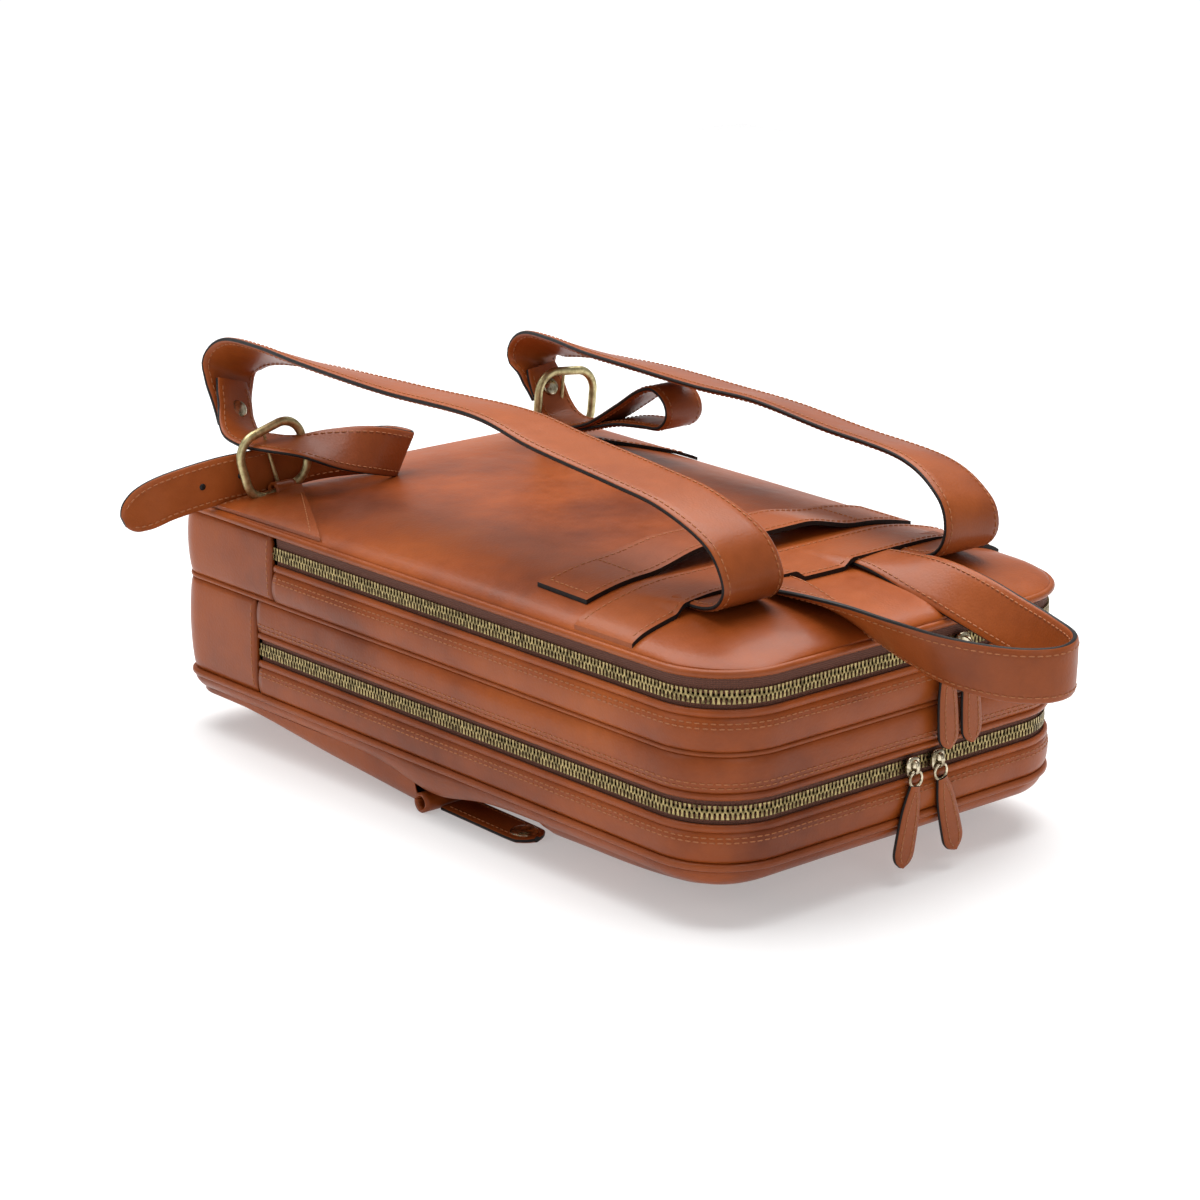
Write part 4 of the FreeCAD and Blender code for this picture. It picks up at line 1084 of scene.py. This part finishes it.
rivet_profile = ((0.0046, 0.0), (0.0050, 0.0003), (0.0049, 0.0008), (0.0043, 0.0013), (0.0038, 0.0014),
                 (0.0030, 0.0016), (0.0018, 0.0018), (0.0004, 0.0019))
rivet_places = {"left": ((-0.0943, 0.1408, 0.1628), (-0.08, -0.87, 0.48)),
                "right": ((0.0873, 0.1103, 0.1530), (-0.05, -0.90, 0.42))}
for side, (centre, axis) in rivet_places.items():
    rivet = lathed("rivet_" + side, rivet_profile, centre, axis, [bright_brass])
    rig.ride(rivet, "strap_" + side)
    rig.replaces(rivet, "strap_rivet_" + side)
    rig.slot(rivet, "small_metal")

# The two punched holes that show in the tail of the left strap, as dark discs on its face: painted shade for the dark
# inside of each hole, in the black edge paint.
hole_shade_profile = ((0.0017, 0.0), (0.0017, 0.0003), (0.0002, 0.0003))
for number, centre in enumerate(((-0.1120, 0.1130, 0.1364), (-0.1338, 0.1150, 0.1338))):
    hole = lathed("strap_hole_%d" % number, hole_shade_profile, centre, (-0.07, -1.0, 0.0), [edge_paint_and_hole_shade])
    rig.ride(hole, "strap_left")

ring_wide, ring_tall, ring_round = 0.038, 0.034, 0.0115
wire_half_wide, wire_half_deep = 0.0024, 0.0018
prong_half, prong_gap = 0.0012, 0.0030
ring_lean = {"left": 16.0, "right": -6.0}
for side, sign in (("left", -1), ("right", 1)):
    half = ring_wide / 2
    corners = [(half, ring_tall), (-half, ring_tall), (-half, 0), (half, 0)]
    loop = rounded_loop(corners, [ring_round] * 4, 0.0012)
    tangent = np.roll(loop, -1, axis=0) - np.roll(loop, 1, axis=0)
    tangent /= np.hypot(*tangent.T)[:, None]
    normal = np.stack([tangent[:, 1], -tangent[:, 0]], 1)
    angle = np.linspace(0, 2 * np.pi, 14, endpoint=False)
    flat = loop[:, None] + normal[:, None] * (wire_half_wide * np.cos(angle))[None, :, None]
    lean = np.radians(ring_lean[side])
    turned_x = flat[:, :, 0] * np.cos(lean) - flat[:, :, 1] * np.sin(lean)
    turned_z = flat[:, :, 0] * np.sin(lean) + flat[:, :, 1] * np.cos(lean)
    deep = np.broadcast_to(wire_half_deep * np.sin(angle), turned_x.shape)
    rings = np.stack([sign * ring_x + turned_x, ring_y + deep, bar_z + turned_z], 2)
    ring = sweep("ring_" + side, rings, [ring_brass], loop=True)
    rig.ride(ring, "buckle_" + side)
    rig.replaces(ring, "buckle_frame_" + side)
    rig.slot(ring, "buckle_metal")
    up = np.linspace(0.0, 1.0, 20)
    rod = np.stack([sign * ring_x - np.sin(lean) * ring_tall * up,
                    ring_y + prong_gap + 0.0004 * np.sin(np.pi * up),
                    bar_z + np.cos(lean) * ring_tall * up], 1)
    girth = prong_half * (1.0 - 0.35 * up)
    circle = np.stack([np.cos(angle), np.sin(angle), 0 * angle], 1)
    rings = rod[:, None] + girth[:, None, None] * circle[None]
    prong = sweep("prong_" + side, rings, [ring_brass])
    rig.ride(prong, "prong_" + side)
    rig.replaces(prong, "buckle_prong_" + side)
    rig.slot(prong, "buckle_metal")


# ---- The carrying loop
# Doubled cowhide with a core, 25 mm wide, sewn near both edges. It lies flat where it leaves the
# yoke, and turns on edge beyond the case, where the hand takes it.

handle_wide, handle_thick = 0.025, 0.0033
handle_places = (
    (-0.031, -0.186, 0.1350, 1, 0, 0), (-0.0312, -0.207, 0.1352, 1, 0, -0.12),
    (-0.0315, -0.230, 0.1335, 0.90, 0, -0.42), (-0.0315, -0.252, 0.1305, 0.72, 0, -0.70),
    (-0.0310, -0.276, 0.1270, 0.50, 0, -0.86), (-0.0285, -0.303, 0.1240, 0.25, 0, -0.97),
    (-0.0210, -0.328, 0.1232, 0.06, 0, -1.0), (-0.0095, -0.3405, 0.1232, 0, 0, -1),
    (0.0035, -0.3420, 0.1234, 0, 0, -1), (0.0155, -0.3330, 0.1235, -0.05, 0, -1.0),
    (0.0230, -0.3130, 0.1240, -0.16, 0, -0.98), (0.0270, -0.2870, 0.1265, -0.35, 0, -0.93),
    (0.0295, -0.2600, 0.1305, -0.58, 0, -0.80), (0.0305, -0.2330, 0.1340, -0.82, 0, -0.55),
    (0.0310, -0.2080, 0.1354, -1, 0, -0.18), (0.0310, -0.186, 0.1350, -1, 0, 0))
handle_stations = [facing(*place, handle_wide) for place in handle_places]
handle_bend = {"start": (0, -0.1960, 0.135), "end": (0, -0.2180, 0.135)}
loop, row = ribbon("carrying_loop", handle_stations, handle_thick, [strap_hide, edge_paint_and_hole_shade])
for piece in (loop, edge_seams("carrying_loop_stitches", row)):
    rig.blend(piece, "back_flap", "handle", **handle_bend)
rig.replaces(loop, "handle_loop", "handle_core")
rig.slot(loop, "strap_leather")


# ---- The sliders and their pulls
# A cast brass slider with a bridge, a ring of wire through the bridge, and a doubled leather tongue on
# the ring, sewn near both edges.

def wire_ring(name, centre, radius, wire):
    """A ring of round wire that lies in the plane across Y."""
    a = np.linspace(0, 2 * np.pi, 30, endpoint=False)[:, None]
    b = np.linspace(0, 2 * np.pi, 10, endpoint=False)[None, :]
    x = (radius + wire * np.cos(b)) * np.cos(a)
    z = (radius + wire * np.cos(b)) * np.sin(a)
    y = np.broadcast_to(wire * np.sin(b), x.shape)
    return sweep(name, np.array(centre) + np.stack([x, y, z], 2), [bright_brass], loop=True)


pull_lean = {"rear_left": -4.0, "rear_right": -4.0, "front_left": 11.0, "front_right": -15.0}
tongue_places = (0.0024, 0.0050, 0.0090, 0.0150, 0.0230, 0.0320, 0.0345, 0.0360, 0.0378, 0.0393, 0.0403,
                 0.0409)
tongue_widths = (0.0064, 0.0076, 0.0096, 0.0116, 0.0126, 0.0130, 0.0128, 0.0121, 0.0104, 0.0077, 0.0046,
                 0.0028)
bridge_foot = 0.0018
for place, lean in pull_lean.items():
    lo, hi = [np.array(c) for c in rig.box("slider_" + place)]
    mid = (lo + hi) / 2
    plate_back = hi[1]
    t = np.linspace(0, 2 * np.pi, 28, endpoint=False)
    outline = np.stack([np.sign(np.cos(t)) * np.abs(np.cos(t)) ** 0.55 * 0.0041,
                        np.sign(np.sin(t)) * np.abs(np.sin(t)) ** 0.70 * 0.0048], 1)
    depths = np.array([0.0, 0.0005, 0.0014, 0.0020, 0.0022])
    sizes = np.array([0.86, 1.0, 1.0, 0.86, 0.60])
    rings = np.stack([mid[0] + sizes[:, None] * outline[None, :, 0],
                      plate_back - np.broadcast_to(depths[:, None], (5, 28)),
                      mid[2] + sizes[:, None] * outline[None, :, 1]], 2)
    body = sweep("slider_body_" + place, rings, [bright_brass])
    arch_t = np.linspace(0, np.pi, 16)
    reach = plate_back - bridge_foot - lo[1]
    arch = np.stack([np.full(16, mid[0]),
                     plate_back - bridge_foot - reach * np.sin(arch_t) ** 0.6 + 0.0004,
                     mid[2] + 0.0031 * np.cos(arch_t)], 1)
    ahead = np.gradient(arch, axis=0)
    ahead /= np.linalg.norm(ahead, axis=1)[:, None]
    out = np.cross([1.0, 0, 0], ahead)
    round_bar = np.linspace(0, 2 * np.pi, 10, endpoint=False)[None, :, None]
    rings = (arch[:, None] + np.cos(round_bar) * np.array([0.0011, 0, 0])
             + 0.0005 * np.sin(round_bar) * out[:, None])
    bridge = sweep("slider_bridge_" + place, rings, [bright_brass])
    for piece in (body, bridge):
        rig.ride(piece, "slider_" + place)
        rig.slot(piece, "small_metal")
    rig.replaces(body, "slider_" + place)
    ring_lo, ring_hi = [np.array(c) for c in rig.box("pull_ring_" + place)]
    eye = (ring_lo + ring_hi) / 2
    wire = wire_ring("pull_wire_" + place, eye, 0.0038, 0.00075)
    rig.ride(wire, "pull_" + place)
    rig.replaces(wire, "pull_ring_" + place)
    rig.slot(wire, "small_metal")
    turn = np.radians(lean)
    down = np.array([-np.sin(turn), 0.0, -np.cos(turn)])
    wide = np.array([np.cos(turn), 0.0, -np.sin(turn)])
    stations = [(*(eye + down * (0.0008 + spot)), *wide, width)
                for spot, width in zip(tongue_places, tongue_widths)]
    tongue, row = ribbon("pull_leather_" + place, stations, 0.0028, [strap_hide, edge_paint_and_hole_shade],
                         step=0.0008)
    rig.ride(tongue, "pull_" + place)
    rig.replaces(tongue, "pull_tab_" + place)
    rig.slot(tongue, "strap_leather")
    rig.ride(edge_seams("pull_stitches_" + place, row, pitch=0.0028), "pull_" + place)


# ---- The pocket on the front
# An open patch pocket of cowhide. Its mouth is rolled over a cord, and two tongues with brass snaps
# close it onto the panel.

pouch_lo, pouch_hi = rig.box("pocket_pouch")
mouth_y = pouch_lo[1]
flat_end_y = mouth_y + 0.070
side_inset = 0.006


def pouch_height(x, y):
    """The pocket's outer face. Its middle lies on the table for the first 70 mm and then slopes up to
    the base. Its sides slope all the way, and everything turns up into the panel at the very edge."""
    slope = np.clip((y - flat_end_y) / (pouch_hi[1] - flat_end_y), 0.0, 1.0) ** 1.15
    middle = 0.0002 + 0.0150 * slope
    beside = 0.0002 + 0.0155 * np.clip((y - mouth_y) / 0.140, 0.0, 1.0)
    outer = np.clip(np.abs(x) / half_width(y), 0.0, 1.0) ** 3
    face = middle * (1 - outer) + np.maximum(middle, beside) * outer
    turn_up = shoulder(half_width(y) - side_inset - np.abs(x), 0.009) * shoulder(pouch_hi[1] - y, 0.012)
    face = face + (0.0178 - face) * (1 - turn_up)
    return np.maximum(face + 0.0005 * waves(x, y, 51, 4.0, 20.0, 6), 0.0001)


v, u = np.meshgrid(np.linspace(mouth_y, pouch_hi[1], 90), edge_spacing(80, 0.9), indexing="ij")
x = u * (half_width(v) - side_inset)
pouch_grid = np.stack([x, v, pouch_height(x, v)], 2)
pouch = slab("pocket_leather", pouch_grid, 0.0018, [case_hide])
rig.ride(pouch, "front_shell")
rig.replaces(pouch, "pocket_pouch")
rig.slot(pouch, "leather")

welt_lo, welt_hi = [np.array(c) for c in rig.box("pocket_welt")]
welt_y, welt_z = (welt_lo[1] + welt_hi[1]) / 2, (welt_lo[2] + welt_hi[2]) / 2
turn = np.radians(np.linspace(20, 372, 34))
spiral = np.concatenate([np.stack([0.0049 * np.cos(turn), 0.0049 * np.sin(turn)], 1),
                         np.stack([0.0034 * np.cos(turn[::-1]), 0.0034 * np.sin(turn[::-1])], 1)])
along = np.linspace(welt_lo[0], welt_hi[0], 90)
pinch = 1.0 + 0.04 * waves(along, along * 0, 61, 8.0, 40.0)
rings = np.stack([np.broadcast_to(along[:, None], (90, 68)), welt_y + pinch[:, None] * spiral[None, :, 0],
                  welt_z + pinch[:, None] * spiral[None, :, 1]], 2)
rings[:, :, 2] = np.maximum(rings[:, :, 2], 0.0001)
welt = sweep("pocket_welt_leather", rings, [case_hide])
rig.ride(welt, "front_shell")
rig.replaces(welt, "pocket_welt")
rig.slot(welt, "leather")

snap_profile = ((0.0068, 0.0), (0.0070, 0.0004), (0.0067, 0.0010), (0.0056, 0.0016), (0.0030, 0.0019),
                (0.0005, 0.0020))
tongue_z, tongue_thick = 0.0016, 0.0024
for side in ("left", "right"):
    lo, hi = [np.array(c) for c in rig.box("pocket_tab_" + side)]
    x = (lo[0] + hi[0]) / 2
    spots = np.array([hi[1], hi[1] - 0.02, lo[1] + 0.010, lo[1] + 0.0045, lo[1] + 0.0015, lo[1] + 0.0003])
    widths = (0.0200, 0.0200, 0.0198, 0.0165, 0.0100, 0.0040)
    stations = [(x, y, tongue_z, 1, 0, 0, width) for y, width in zip(spots, widths)]
    tongue, row = ribbon("pocket_tongue_" + side, stations, tongue_thick, [strap_hide, edge_paint_and_hole_shade],
                         step=0.001)
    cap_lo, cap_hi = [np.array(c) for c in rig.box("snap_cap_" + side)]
    cap_centre = (x, (cap_lo[1] + cap_hi[1]) / 2, cap_lo[2])
    cap = lathed("snap_" + side, snap_profile, cap_centre, (0, 0, 1), [bright_brass])
    seam = edge_seams("pocket_tongue_stitches_" + side, row, faces=(-1,))
    for piece in (tongue, cap, seam):
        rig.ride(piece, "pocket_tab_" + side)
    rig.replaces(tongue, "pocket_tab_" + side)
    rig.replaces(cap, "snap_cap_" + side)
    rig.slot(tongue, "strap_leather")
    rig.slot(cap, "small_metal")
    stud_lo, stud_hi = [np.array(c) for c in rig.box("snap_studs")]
    stud_centre = (x, (stud_lo[1] + stud_hi[1]) / 2, stud_hi[2])
    stud = lathed("stud_" + side, snap_profile, stud_centre, (0, 0, -1), [bright_brass])
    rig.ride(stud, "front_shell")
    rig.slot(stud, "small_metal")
    if side == "right":
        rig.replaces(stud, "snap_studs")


# ---- The linings inside
# Plain brown cotton on each compartment's walls, the divider and the laptop sleeve. These pieces keep
# their own shapes, and take the cloth as their finish.

lining_cloth = woven("brown_cotton", "Object", (("X", 260.0, 0.0), ("Y", 260.0, 0.0)),
                     ((0.07, 0.045, 0.030), (0.17, 0.115, 0.075)), 0.4, 0.9)
for node in ("front_lining", "divider_lining", "divider_board", "back_lining", "laptop_sleeve"):
    shape = frame["nodes"][node]
    for k in range(len(shape.material_slots)):
        shape.material_slots[k].material = lining_cloth

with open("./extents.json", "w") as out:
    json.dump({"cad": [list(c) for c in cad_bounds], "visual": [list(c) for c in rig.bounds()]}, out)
